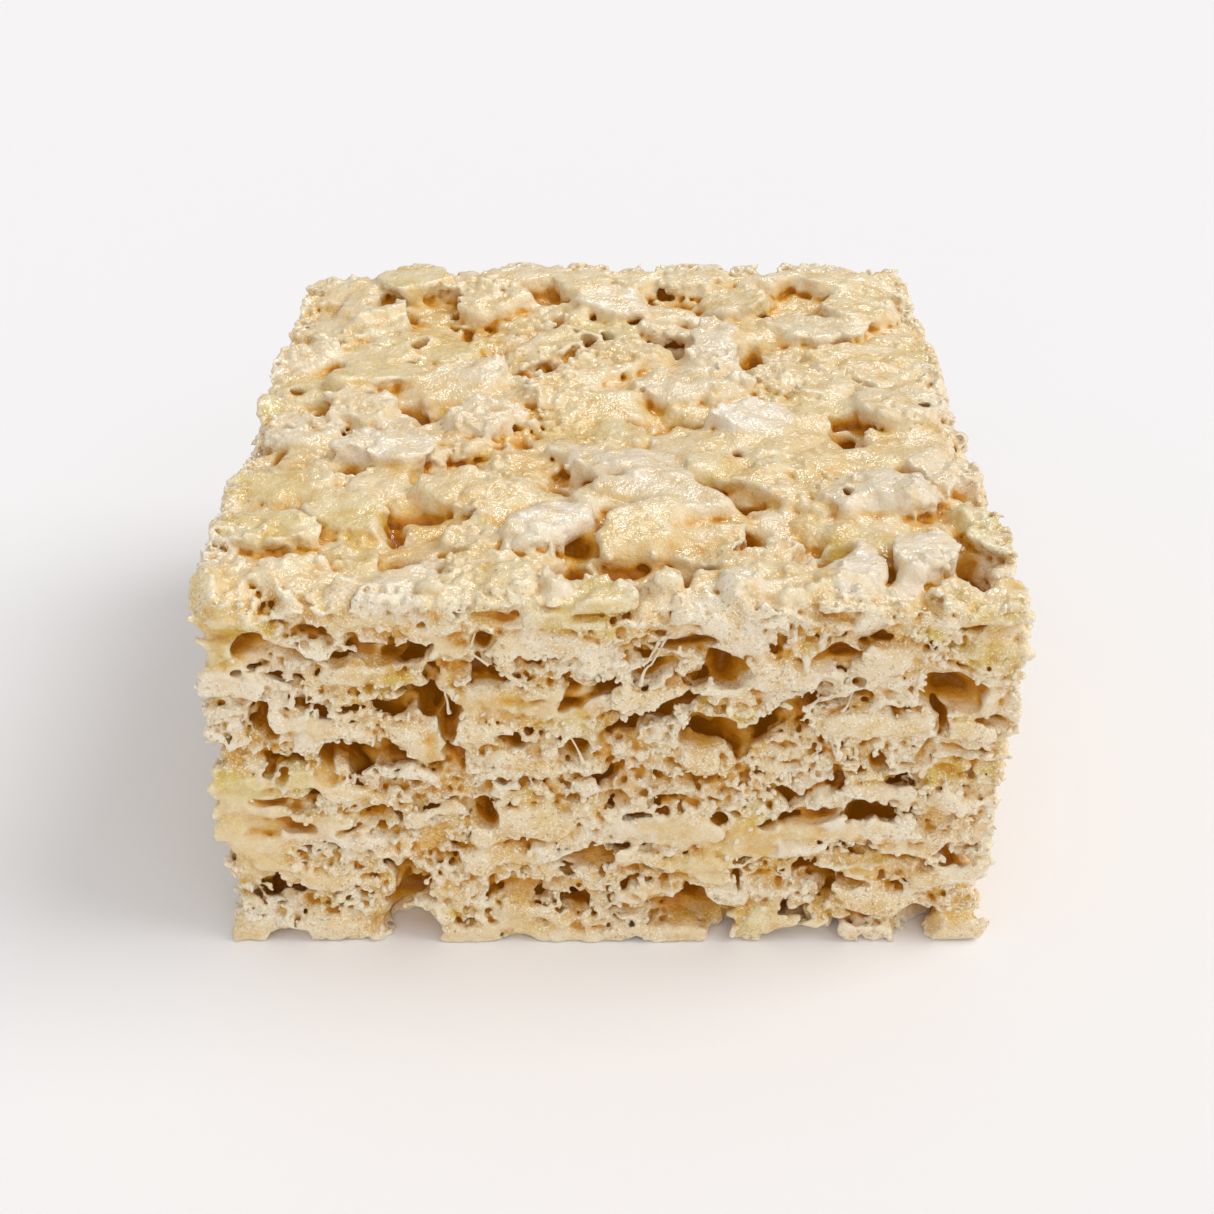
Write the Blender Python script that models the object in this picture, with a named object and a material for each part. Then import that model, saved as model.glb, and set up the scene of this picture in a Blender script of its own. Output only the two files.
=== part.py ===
"""A square of puffed rice set in marshmallow.

It is one solid: a core block, the puffed grains that show fused onto its pressed top and
its four cut sides, and the larger gaps between the grains cut into it. Units are metres,
with +Z up. The origin is the middle of the underside, and the front cut faces -Y.
"""

import math
from collections import namedtuple

import bmesh
import bpy
import numpy as np
from mathutils import Euler, Matrix, Vector

MM = 0.001

# Driving dimensions of the block
HALF_WIDTH = 25.6 * MM
HALF_DEPTH = 26.2 * MM
WIDEST = 26.45 * MM
HEIGHT = 27.8 * MM
CORNER_ROUND = 1.6 * MM
LAYER_PITCH = 2.3 * MM
CORE_INSET = 1.0 * MM
CORE_TOP_INSET = 1.9 * MM
LAYER_RELIEF = 0.75 * MM
TOP_RELIEF = 0.45 * MM
CORE_CUTS = (11, 11, 10)

# A puffed grain
GRAIN_LENGTH = 6.6 * MM
GRAIN_WIDTH = 4.3 * MM
GRAIN_THICKNESS = 3.0 * MM
GRAIN_SIDES = 5
GRAIN_RINGS = 4
TOP_GRAINS = 60
SIDE_GRAINS = 13
LARGEST = 1.25
SMALLEST = 0.75
PLUMPNESS = (0.88, 1.12)
RISEN_THICKENING = 1.2

# How far a grain's own flat lies below or above the common surface, and the share of its size
# that lies below the flat's own middle
TOP_DROP = 0.9 * MM
LEAST_DROP = 0.05 * MM
SIDE_DROP = 0.5 * MM
UNDERSIDE_GAP = 0.25 * MM
TOP_SUNK = (0.40, 0.48)
SIDE_SUNK = 0.3

# How the grains are spread: the draws that each place is the best of, how much farther apart
# they lie along the rows, and the spread of their angles in degrees
CANDIDATES = 24
TOP_STRETCH = (1.15, 1.0)
SIDE_STRETCH = (1.7, 1.0)
TOP_MARGIN = GRAIN_WIDTH / 3
TOP_TURN = 38
TOP_LEAN = 7
SIDE_TURN = 22
SIDE_LEAN = 9
GAP_LEAN = 8
SEED = 11
TOP_SEED = 12

# A core point this far out, as a share of half the block, lies on a face
ON_FACE = 0.99
# An edge runs along an axis where its direction has at least this share of it
ALONG_AXIS = 0.9

PALE_TOAST = (0.701, 0.521, 0.279)
GLAZED_ROUGHNESS = 0.42

# The one grain on each side that reaches the full width: how far along the side, and its height
WIDEST_ON_FRONT = (10.0 * MM, 12.0 * MM)
WIDEST_ON_BACK = (4.0 * MM, 14.0 * MM)
WIDEST_ON_LEFT = (5.0 * MM, 9.0 * MM)
WIDEST_ON_RIGHT = (-12.0 * MM, 19.0 * MM)

# Bulges and hollows of the outline: how far out, where, and how wide
Swell = namedtuple("Swell", "out at spread")
LEFT_BY_HEIGHT = (
    Swell(-0.8 * MM, 23.0 * MM, 1.9 * MM),
    Swell(0.7 * MM, 9.2 * MM, 1.8 * MM),
)
LEFT_BY_DEPTH = (Swell(0.9 * MM, -5.0 * MM, 10.0 * MM),)
RIGHT_BY_HEIGHT = (Swell(0.9 * MM, 19.0 * MM, 5.0 * MM), Swell(-0.4 * MM, 3.0 * MM, 4.0 * MM))
RIGHT_BY_DEPTH = (
    Swell(0.5 * MM, -12.0 * MM, 6.0 * MM),
    Swell(-0.8 * MM, 26.0 * MM, 5.0 * MM),
)

# Grains that stand out on the top: middle in x and y, length and turn, then the height of
# their flat above the common surface. Millimetres and degrees.
TopGrain = namedtuple("TopGrain", "x y length turn rise")
STANDING_OUT = (
    TopGrain(-22.6, -16.9, 7.2, -8, -0.1),
    TopGrain(19.9, -20.4, 6.2, -115, 0.1),
    TopGrain(15.4, -21.4, 6.0, -98, -0.2),
    TopGrain(17.8, -12.3, 7.6, -2, 0.3),
    TopGrain(8.3, -8.0, 6.8, 5, -0.4),
    TopGrain(10.3, -1.5, 5.8, 0, 0.0),
    TopGrain(21.1, 1.0, 6.0, -9, 0.2),
    TopGrain(-3.7, -16.3, 6.9, 45, 0.2),
    TopGrain(3.7, -12.2, 8.4, -18, 0.0),
    TopGrain(-18.3, 1.4, 5.6, 0, -0.2),
    TopGrain(-15.4, -5.4, 5.8, -8, 0.1),
    TopGrain(-8.9, -1.0, 5.2, 13, 0.0),
    TopGrain(-11.1, 5.2, 7.3, 24, -0.1),
    TopGrain(16.5, 14.9, 8.4, 4, 0.0),
    TopGrain(8.2, 11.6, 7.6, -88, 0.1),
    TopGrain(6.5, 4.3, 7.5, 4, 0.0),
    TopGrain(-22.1, 23.2, 7.2, 0, 0.1),
    TopGrain(-16.2, 23.8, 5.2, 6, 1.2),
    TopGrain(-7.1, 24.0, 6.8, 4, 1.3),
    TopGrain(-1.8, 24.2, 4.6, -10, 1.2),
    TopGrain(2.4, 24.0, 4.8, 12, 0.9),
    TopGrain(7.5, 24.1, 6.2, 6, 1.1),
    TopGrain(13.5, 24.1, 5.8, -6, 1.1),
    TopGrain(19.0, 24.0, 6.6, -4, 1.0),
    TopGrain(23.0, 23.2, 5.0, 30, 0.5),
    TopGrain(-18.9, -23.0, 6.0, -40, -0.2),
    TopGrain(-24.0, -23.2, 6.2, -52, -0.2),
    TopGrain(-8.6, -12.2, 8.2, -19, 0.0),
)

# Gaps between the grains: middle, then the size along x, along y and up. Millimetres.
Gap = namedtuple("Gap", "x y z wide deep tall")
FRONT = -25.2
TOP = 26.6
TOP_GAPS = (
    Gap(-11.7, -8.0, TOP, 3.4, 3.4, 6.2),
    Gap(-3.2, -9.6, TOP, 1.8, 3.0, 5.4),
    Gap(-13.4, -18.6, TOP, 2.5, 4.2, 5.9),
    Gap(-18.2, -7.4, TOP, 2.1, 3.6, 4.9),
    Gap(-14.6, 1.6, TOP, 2.8, 2.6, 5.1),
    Gap(-2.5, -20.2, TOP, 2.5, 2.8, 5.4),
    Gap(4.9, 12.8, TOP, 3.2, 3.6, 6.2),
    Gap(11.4, 10.6, TOP, 2.3, 4.4, 5.9),
    Gap(17.4, -2.4, TOP, 2.5, 3.4, 5.4),
    Gap(8.9, -13.4, TOP, 3.4, 2.4, 5.1),
    Gap(5.2, -22.0, TOP, 3.7, 2.2, 5.4),
    Gap(13.6, -18.4, TOP, 3.9, 2.2, 4.9),
    Gap(22.6, -21.0, TOP, 3.4, 4.4, 7.0),
    Gap(-12.1, 25.4, 28.2, 2.3, 4.2, 5.7),
    Gap(3.6, 25.6, 28.6, 2.1, 4.0, 3.5),
)
FRONT_GAPS = (
    Gap(-19.4, FRONT, 23.8, 4.6, 4.4, 1.8),
    Gap(-21.8, FRONT, 18.3, 2.4, 4.4, 3.2),
    Gap(-17.0, FRONT, 15.2, 3.5, 4.4, 3.2),
    Gap(-10.4, FRONT, 18.8, 2.4, 6.0, 4.8),
    Gap(-2.0, FRONT, 16.4, 3.1, 4.7, 2.8),
    Gap(7.0, FRONT, 21.9, 3.5, 5.7, 2.8),
    Gap(6.3, FRONT, 17.4, 3.7, 4.7, 3.2),
    Gap(14.6, FRONT, 20.2, 4.0, 6.5, 2.1),
    Gap(21.6, FRONT, 20.0, 3.5, 5.7, 3.9),
    Gap(-1.8, FRONT, 7.4, 4.8, 5.2, 2.1),
    Gap(-8.0, FRONT, 10.9, 2.2, 4.4, 3.0),
)
FOOT_GAPS = (
    Gap(-13.4, FRONT, 0.0, 4.0, 4.6, 3.4),
    Gap(5.6, FRONT, 0.9, 4.4, 4.6, 3.0),
    Gap(13.4, FRONT, 0.0, 3.6, 4.0, 2.6),
    Gap(21.4, FRONT, 0.0, 2.8, 3.6, 3.0),
)
CUTTER_SIDES = 7
CUTTER_RINGS = 5


def swelling(swells, place):
    """How far the outline bulges at a place along it."""
    return sum(s.out * math.exp(-(((place - s.at) / s.spread) ** 2)) for s in swells)


def left_edge(y, z):
    """The outline's x on the left."""
    out = swelling(LEFT_BY_HEIGHT, z) + swelling(LEFT_BY_DEPTH, y) * z / HEIGHT
    return -min(HALF_WIDTH + out, WIDEST)


def right_edge(y, z):
    """The outline's x on the right."""
    out = swelling(RIGHT_BY_HEIGHT, z) + swelling(RIGHT_BY_DEPTH, y) * z / HEIGHT
    return min(HALF_WIDTH + out, WIDEST)


def clear_scene():
    """Empties the scene."""
    for item in list(bpy.data.objects):
        bpy.data.objects.remove(item, do_unlink=True)


def new_collection(name):
    """A collection in the scene."""
    made = bpy.data.collections.new(name)
    bpy.context.scene.collection.children.link(made)
    return made


def new_object(name, shape, collection):
    """An object that holds a finished bmesh, which is then freed."""
    bmesh.ops.recalc_face_normals(shape, faces=shape.faces)
    mesh = bpy.data.meshes.new(name)
    shape.to_mesh(mesh)
    shape.free()
    made = bpy.data.objects.new(name, mesh)
    collection.objects.link(made)
    return made


def treat_material():
    """Toasted rice glazed with set marshmallow: pale, and softly glossy."""
    material = bpy.data.materials.new("puffed rice in marshmallow")
    material.use_nodes = True
    shader = material.node_tree.nodes["Principled BSDF"]
    shader.inputs["Base Color"].default_value = (*PALE_TOAST, 1.0)
    shader.inputs["Roughness"].default_value = GLAZED_ROUGHNESS
    return material


def rounded(value, limit, other, other_limit):
    """Pulls a coordinate in where its neighbour is within the corner's radius of its own limit."""
    into_corner = max(0.0, abs(other) - (other_limit - CORNER_ROUND))
    pull = CORNER_ROUND - math.sqrt(max(0.0, CORNER_ROUND**2 - into_corner**2))
    return math.copysign(max(0.0, min(abs(value), limit - pull)), value)


def core_block(random, collection):
    """The block inside the grains, with the layers of the pressed mix as low ridges."""
    shape = bmesh.new()
    bmesh.ops.create_cube(shape, size=2.0)
    for axis, cuts in enumerate(CORE_CUTS):
        along = [
            edge
            for edge in shape.edges
            if abs((edge.verts[0].co - edge.verts[1].co).normalized()[axis]) > ALONG_AXIS
        ]
        bmesh.ops.subdivide_edges(shape, edges=along, cuts=cuts, use_grid_fill=True)
    top = HEIGHT - CORE_TOP_INSET
    for vertex in shape.verts:
        across, back, up = vertex.co
        z = (up + 1) / 2 * top
        y = back * (HALF_DEPTH - CORE_INSET)
        edge = right_edge(y, z) if across > 0 else -left_edge(y, z)
        x = across * (edge - CORE_INSET)
        x = rounded(x, edge - CORE_INSET, y, HALF_DEPTH - CORE_INSET)
        on_side = abs(across) > ON_FACE or abs(back) > ON_FACE
        relief = random.uniform(-1.0, 1.0)
        if on_side and 0 < z:
            x += relief * LAYER_RELIEF * across * (abs(across) > ON_FACE)
            y += relief * LAYER_RELIEF * back * (abs(back) > ON_FACE)
        elif z > top - TOP_RELIEF:
            z += relief * TOP_RELIEF
        vertex.co = (x, y, z)
    return new_object("core", shape, collection)


def grain_size(random, share):
    """Length, width and thickness of a grain, the largest for share 0 and the smallest for 1."""
    scale = LARGEST + (SMALLEST - LARGEST) * share
    plumpness = random.uniform(*PLUMPNESS)
    return Vector((GRAIN_LENGTH * scale, GRAIN_WIDTH * plumpness, GRAIN_THICKNESS / plumpness))


def standing_size(grain):
    """The size of a grain that stands out, thick enough to reach down into the core."""
    thickness = GRAIN_THICKNESS + max(0.0, grain.rise * MM) * RISEN_THICKENING
    return Vector((grain.length * MM, GRAIN_WIDTH, thickness))


def ellipsoid(size, turn, middle, sides, rings):
    """A closed ellipsoid of few sides, as a bmesh."""
    shape = bmesh.new()
    place = (
        Matrix.Translation(middle)
        @ turn.to_matrix().to_4x4()
        @ Matrix.Diagonal((*(size / 2), 1.0))
        @ Matrix.Rotation(math.radians(90), 4, "Y")
    )
    bmesh.ops.create_uvsphere(shape, u_segments=sides, v_segments=rings, radius=1.0, matrix=place)
    return shape


def spread_out(count, low, high, taken, stretch, random):
    """Places well apart from each other and from those taken: each is the best of a few draws."""
    placed = [np.array(place, float) for place in taken]
    found = []
    for _ in range(count):
        drawn = random.uniform(low, high, (CANDIDATES, 2))
        gaps = [min(np.hypot(*((place - other) / stretch)) for other in placed) for place in drawn]
        best = drawn[int(np.argmax(gaps))]
        placed.append(best)
        found.append(best)
    return found


def pressed(shape, ceiling, drop):
    """Flattens a grain where it would pass the outline, the common top or the underside."""
    for vertex in shape.verts:
        x, y, z = vertex.co
        z = min(max(z, UNDERSIDE_GAP + drop), ceiling)
        y = max(min(y, HALF_DEPTH - drop), -HALF_DEPTH + drop)
        x = max(min(x, right_edge(y, z) - drop), left_edge(y, z) + drop)
        vertex.co = (x, y, z)


def top_grains(collection):
    """The grains of the pressed top: those that stand out, then the rest spread between them."""
    random = np.random.default_rng(TOP_SEED)
    grains = [
        (g.x * MM, g.y * MM, standing_size(g), g.turn, g.rise * MM)
        for g in STANDING_OUT
    ]
    taken = [(g.x * MM, g.y * MM) for g in STANDING_OUT + TOP_GAPS]
    reach = np.array([HALF_WIDTH, HALF_DEPTH]) - TOP_MARGIN
    places = spread_out(TOP_GRAINS, -reach, reach, taken, np.array(TOP_STRETCH), random)
    for number, (x, y) in enumerate(places):
        size = grain_size(random, number / TOP_GRAINS)
        grains.append((x, y, size, random.normal(0, TOP_TURN), -random.uniform(0, TOP_DROP)))
    for number, (x, y, size, turn, rise) in enumerate(grains):
        lean = Euler([math.radians(a) for a in (*random.normal(0, TOP_LEAN, 2), turn)])
        flat = HEIGHT + rise
        sunk = size.z * random.uniform(*TOP_SUNK)
        shape = ellipsoid(size, lean, Vector((x, y, flat - sunk)), GRAIN_SIDES, GRAIN_RINGS)
        pressed(shape, flat, random.uniform(0, SIDE_DROP) + LEAST_DROP)
        new_object(f"top_grain_{number:03d}", shape, collection)


def side_grains(name, normal, widest, taken, random, collection):
    """The grains of one cut side, lying along its layers and cut off at its face."""
    along = Vector((-normal.y, normal.x, 0))
    half = HALF_WIDTH if normal.y else HALF_DEPTH
    low = np.array([GRAIN_WIDTH / 2 - half, GRAIN_THICKNESS / 2])
    high = np.array([half - GRAIN_WIDTH / 2, HEIGHT - GRAIN_THICKNESS])
    stretch = np.array(SIDE_STRETCH)
    places = [widest] + spread_out(SIDE_GRAINS, low, high, [widest, *taken], stretch, random)
    face = HALF_DEPTH if normal.y else HALF_WIDTH
    for number, (run, z) in enumerate(places):
        layer = (math.floor(z / LAYER_PITCH) + 0.5) * LAYER_PITCH
        drop = random.uniform(LEAST_DROP, SIDE_DROP) if number else 0.0
        middle = along * run + normal * (face - GRAIN_WIDTH * SIDE_SUNK) + Vector((0, 0, layer))
        heading = math.degrees(math.atan2(along.y, along.x)) + random.normal(0, SIDE_TURN)
        lean = Euler([math.radians(a) for a in (*random.normal(0, SIDE_LEAN, 2), heading)])
        shape = ellipsoid(grain_size(random, number / SIDE_GRAINS), lean, middle, GRAIN_SIDES, GRAIN_RINGS)
        pressed(shape, HEIGHT - TOP_DROP - drop, drop)
        new_object(f"{name}_grain_{number:03d}", shape, collection)


def gap_cutters(random, collection):
    """The gaps between grains, as rough ellipsoids."""
    for number, gap in enumerate(TOP_GAPS + FRONT_GAPS + FOOT_GAPS):
        size = Vector((gap.wide, gap.deep, gap.tall)) * MM
        lean = Euler([math.radians(a) for a in random.normal(0, GAP_LEAN, 3)])
        middle = Vector((gap.x, gap.y, gap.z)) * MM
        shape = ellipsoid(size, lean, middle, CUTTER_SIDES, CUTTER_RINGS)
        new_object(f"gap_{number:02d}", shape, collection)


def apply_boolean(target, operation, collection):
    """Joins or cuts a target by a collection's objects, which are then removed."""
    step = target.modifiers.new(operation.lower(), "BOOLEAN")
    step.operation = operation
    step.operand_type = "COLLECTION"
    step.collection = collection
    step.solver = "MANIFOLD"
    bpy.context.view_layer.update()
    graph = bpy.context.evaluated_depsgraph_get()
    result = bpy.data.meshes.new_from_object(target.evaluated_get(graph))
    target.modifiers.remove(step)
    target.data = result
    for item in list(collection.objects):
        if item != target:
            bpy.data.objects.remove(item, do_unlink=True)


def islands_of(shape):
    """The separate skins of a bmesh, as lists of faces."""
    waiting = set(shape.faces)
    found = []
    while waiting:
        edge_of_search = [waiting.pop()]
        island = []
        while edge_of_search:
            face = edge_of_search.pop()
            island.append(face)
            for edge in face.edges:
                for other in edge.link_faces:
                    if other in waiting:
                        waiting.remove(other)
                        edge_of_search.append(other)
        found.append(island)
    return found


def keep_outer_skin(target):
    """Drops loose scraps, and the skins of hollows that the joining sealed."""
    shape = bmesh.new()
    shape.from_mesh(target.data)
    bmesh.ops.triangulate(shape, faces=shape.faces)
    islands = sorted(islands_of(shape), key=len)
    for island in islands[:-1]:
        bmesh.ops.delete(shape, geom=island, context="FACES")
    shape.to_mesh(target.data)
    shape.free()


def build():
    """Makes the treat."""
    clear_scene()
    random = np.random.default_rng(SEED)
    piece = new_collection("puffed rice treat")
    pieces = new_collection("grains to join")
    cutters = new_collection("gaps to cut")
    core = core_block(random, piece)
    top_grains(pieces)
    front_taken = [(gap.x * MM, gap.z * MM) for gap in FRONT_GAPS + FOOT_GAPS]
    side_grains("front", Vector((0, -1, 0)), WIDEST_ON_FRONT, front_taken, random, pieces)
    side_grains("back", Vector((0, 1, 0)), WIDEST_ON_BACK, [], random, pieces)
    side_grains("left", Vector((-1, 0, 0)), WIDEST_ON_LEFT, [], random, pieces)
    side_grains("right", Vector((1, 0, 0)), WIDEST_ON_RIGHT, [], random, pieces)
    apply_boolean(core, "UNION", pieces)
    gap_cutters(random, cutters)
    apply_boolean(core, "DIFFERENCE", cutters)
    keep_outer_skin(core)
    core.name = "treat"
    core.data.name = "treat"
    core.data.materials.clear()
    core.data.materials.append(treat_material())


build()
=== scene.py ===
"""The looks of a square of puffed rice set in marshmallow.

The treat is a pressed mass: puffed grains lie in layers, set marshmallow webs them together,
the top has been pressed flat grain by grain, and a knife has cut the four sides. The script
grows that mass as a distance field from its grains, presses, cuts and opens it, and meshes it
in closed pieces: three for the top, three for the front, and one for the underside and for each
other side. Geometry Nodes then scatter the crumbs on the cut sides and pull the fine threads of
marshmallow across the front's gaps.

Lengths inside the script are millimetres, and every mesh is written in metres.
"""

import logging
import math
from dataclasses import dataclass, field
from enum import Enum

import bpy
import numpy as np
import openvdb
from mathutils import Euler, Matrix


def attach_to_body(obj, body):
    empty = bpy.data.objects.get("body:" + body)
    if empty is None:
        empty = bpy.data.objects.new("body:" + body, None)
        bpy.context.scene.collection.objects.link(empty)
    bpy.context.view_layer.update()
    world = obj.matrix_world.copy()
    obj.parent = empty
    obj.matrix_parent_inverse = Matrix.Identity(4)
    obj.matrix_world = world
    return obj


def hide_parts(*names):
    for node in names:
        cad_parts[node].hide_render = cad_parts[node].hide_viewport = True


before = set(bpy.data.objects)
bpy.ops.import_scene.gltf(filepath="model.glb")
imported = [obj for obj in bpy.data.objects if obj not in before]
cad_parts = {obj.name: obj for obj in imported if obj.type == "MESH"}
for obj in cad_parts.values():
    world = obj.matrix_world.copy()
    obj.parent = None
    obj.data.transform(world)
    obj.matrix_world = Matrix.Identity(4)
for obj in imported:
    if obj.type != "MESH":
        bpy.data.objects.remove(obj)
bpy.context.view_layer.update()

LOG = logging.getLogger("treat")
MM = 0.001
NODE = "treat"
BODY = "root"


class Zone(Enum):
    """The pieces that the pressed mass is meshed in."""

    TOP_LEFT = "pressed_top_left"
    TOP_MIDDLE = "pressed_top_middle"
    TOP_RIGHT = "pressed_top_right"
    FRONT_LEFT = "cut_front_left"
    FRONT_MIDDLE = "cut_front_middle"
    FRONT_RIGHT = "cut_front_right"
    LEFT = "cut_left"
    RIGHT = "cut_right"
    BACK = "cut_back"
    PAN = "pan_side"


TOP_ZONES = (Zone.TOP_LEFT, Zone.TOP_MIDDLE, Zone.TOP_RIGHT)
FRONT_ZONES = (Zone.FRONT_LEFT, Zone.FRONT_MIDDLE, Zone.FRONT_RIGHT)
OTHER_ZONES = (Zone.LEFT, Zone.RIGHT, Zone.BACK, Zone.PAN)
CUT_NAMES = {zone.value for zone in (*FRONT_ZONES, Zone.LEFT, Zone.RIGHT, Zone.BACK)}


@dataclass(frozen=True)
class Swell:
    """A bulge of the outline: how far out, where along it, and how wide."""

    out: float
    at: float
    spread: float

    def reach(self, place: np.ndarray) -> np.ndarray:
        """How far the outline stands out at each place."""
        return self.out * np.exp(-(((place - self.at) / self.spread) ** 2))


@dataclass(frozen=True)
class Outline:
    """The block that the treat was cut to, with its slightly bulging sides."""

    half_width: float = 25.95
    half_depth: float = 26.15
    height: float = 27.8
    widest: float = 26.25
    highest: float = 29.05
    left_by_height: tuple[Swell, ...] = (Swell(-0.8, 23.0, 1.9), Swell(0.7, 9.2, 1.8))
    left_by_depth: tuple[Swell, ...] = (Swell(0.9, -5.0, 10.0),)
    right_by_height: tuple[Swell, ...] = (Swell(0.9, 19.0, 5.0), Swell(-0.4, 3.0, 4.0))
    right_by_depth: tuple[Swell, ...] = (Swell(0.5, -12.0, 6.0), Swell(-0.8, 26.0, 5.0))

    def side(
        self, by_height: tuple[Swell, ...], by_depth: tuple[Swell, ...], y: np.ndarray, z: np.ndarray
    ) -> np.ndarray:
        """How far out a side stands.

        Args:
            by_height: the swells along the height.
            by_depth: the swells along the depth, which fade towards the underside.
            y: places along the depth.
            z: places along the height.

        Returns:
            The distance from the middle plane at each place.
        """
        out = sum(swell.reach(z) for swell in by_height)
        deep = sum(swell.reach(y) for swell in by_depth)
        return np.minimum(self.half_width + out + deep * z / self.height, self.widest)

    def left(self, y: np.ndarray, z: np.ndarray) -> np.ndarray:
        """The distance of the left side from the middle plane."""
        return self.side(self.left_by_height, self.left_by_depth, y, z)

    def right(self, y: np.ndarray, z: np.ndarray) -> np.ndarray:
        """The distance of the right side from the middle plane."""
        return self.side(self.right_by_height, self.right_by_depth, y, z)


@dataclass
class Grid:
    """A box of evenly spaced sample points."""

    low: tuple[float, float, float]
    high: tuple[float, float, float]
    step: float
    shape: tuple[int, ...] = field(init=False)
    axes: list[np.ndarray] = field(init=False)

    def __post_init__(self) -> None:
        """Lays the sample points out."""
        spans = zip(self.low, self.high, strict=True)
        self.shape = tuple(int(math.ceil((high - low) / self.step)) + 1 for low, high in spans)
        self.axes = [
            (low + self.step * np.arange(count)).astype(np.float32)
            for low, count in zip(self.low, self.shape, strict=True)
        ]

    def open_axes(self) -> tuple[np.ndarray, np.ndarray, np.ndarray]:
        """The three axes, each shaped to spread over the whole box."""
        x, y, z = self.axes
        return x[:, None, None], y[None, :, None], z[None, None, :]

    def window(self, middle: np.ndarray, reach: np.ndarray) -> tuple[slice, ...] | None:
        """The part of the box round a place.

        Args:
            middle: the place.
            reach: how far to go from it along each axis.

        Returns:
            Slices into the box, or None where the place is outside it.
        """
        found = []
        for axis in range(3):
            first = int((middle[axis] - reach[axis] - self.low[axis]) / self.step)
            last = int((middle[axis] + reach[axis] - self.low[axis]) / self.step) + 2
            first, last = max(first, 0), min(last, self.shape[axis])
            if first >= last:
                return None
            found.append(slice(first, last))
        return tuple(found)

    def sample(self, values: np.ndarray, points: np.ndarray) -> np.ndarray:
        """Reads a field at points that lie between its samples.

        Args:
            values: the field, of the box's shape.
            points: places, one a row.

        Returns:
            The field's value at each place.
        """
        place = (points - np.array(self.low)) / self.step
        place = np.clip(place, 0, np.array(self.shape) - 1.001)
        cell = place.astype(np.int32)
        part = (place - cell).astype(np.float32)
        total = np.zeros(len(points), np.float32)
        for corner in np.ndindex(2, 2, 2):
            weight = np.prod(np.where(corner, part, 1 - part), axis=1)
            total += weight * values[tuple((cell + corner).T)]
        return total


@dataclass(frozen=True)
class LatticeNoise:
    """Smooth noise from random values on a lattice, the same at the same place in every grid."""

    spacing: tuple[float, float, float]
    seed: int
    reach: float = 40.0

    def over(self, grid: Grid) -> np.ndarray:
        """The noise at every point of a grid, between -1 and 1."""
        counts = [int(2 * self.reach / spacing) + 3 for spacing in self.spacing]
        values = np.random.default_rng(self.seed).uniform(-1, 1, counts).astype(np.float32)
        for axis, spacing in enumerate(self.spacing):
            place = (grid.axes[axis] + self.reach) / spacing
            cell = np.floor(place).astype(np.int32)
            part = (place - cell).astype(np.float32)
            part = part * part * (3 - 2 * part)
            shape = [1, 1, 1]
            shape[axis] = -1
            lower = np.take(values, cell, axis=axis)
            upper = np.take(values, cell + 1, axis=axis)
            values = lower + (upper - lower) * part.reshape(shape)
        return values


Layers = tuple[tuple, ...]


def relief(grid: Grid, layers: Layers, level: float = 0.0) -> np.ndarray:
    """Noise of several sizes, added up.

    Args:
        grid: the sample points.
        layers: how far each noise moves the surface, its spacing, even or along each axis, and its seed.
        level: what is added to each noise before it is scaled.

    Returns:
        The sum at every point of the grid.
    """
    total = 0
    for far, spacing, seed in layers:
        along = spacing if isinstance(spacing, tuple) else (spacing,) * 3
        total = total + far * (level + LatticeNoise(along, seed).over(grid))
    return total


@dataclass(frozen=True)
class CellNoise:
    """Rounded lumps packed side by side, the same at the same place in every grid."""

    spacing: float
    seed: int
    reach: float = 40.0

    def over(self, grid: Grid, window: tuple[slice, ...]) -> np.ndarray:
        """How far each sample is from the middle of its lump.

        Args:
            grid: the sample points.
            window: the part of the grid wanted.

        Returns:
            0 at the middle of a lump, and up to about 0.6 in the creases.
        """
        count = int(2 * self.reach / self.spacing) + 3
        random = np.random.default_rng(self.seed)
        middles = random.uniform(0.15, 0.85, (3, count, count, count)).astype(np.float32)
        places = [(axis[cut] + self.reach) / self.spacing for axis, cut in zip(grid.axes, window)]
        cells = [np.floor(place - 0.5).astype(np.int32) for place in places]
        nearest = None
        for shift in np.ndindex(2, 2, 2):
            index = [cell + step for cell, step in zip(cells, shift)]
            chosen = middles[:, index[0][:, None, None], index[1][None, :, None], index[2][None, None, :]]
            squared = 0.0
            for axis in range(3):
                shape = [1, 1, 1]
                shape[axis] = -1
                offset = (index[axis] - places[axis]).astype(np.float32).reshape(shape)
                squared = squared + (chosen[axis] + offset) ** 2
            nearest = squared if nearest is None else np.minimum(nearest, squared)
        return np.minimum(nearest, 0.6)


def smooth_max(first: np.ndarray, second: np.ndarray, width: float) -> np.ndarray:
    """The larger of two fields, rounded over where they are within a width of each other."""
    near = np.maximum(width - np.abs(first - second), 0.0)
    return np.maximum(first, second) + near * near / (4 * width)


def smooth_step(value: np.ndarray, low: float, high: float) -> np.ndarray:
    """0 below low, 1 above high, and a soft step between."""
    part = np.clip((value - low) / (high - low), 0.0, 1.0)
    return part * part * (3 - 2 * part)


@dataclass
class Grain:
    """A puffed grain.

    Attributes:
        middle: where its middle is.
        half: half its length, width and thickness.
        turn: its rotation, as a matrix.
        flat: the height that its top is pressed to.
        slope: how the pressed top leans along x and along y.
        tint: its own shade, from 0 to 1.
    """

    middle: np.ndarray
    half: np.ndarray
    turn: np.ndarray
    flat: float
    slope: tuple[float, float]
    tint: float


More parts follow.
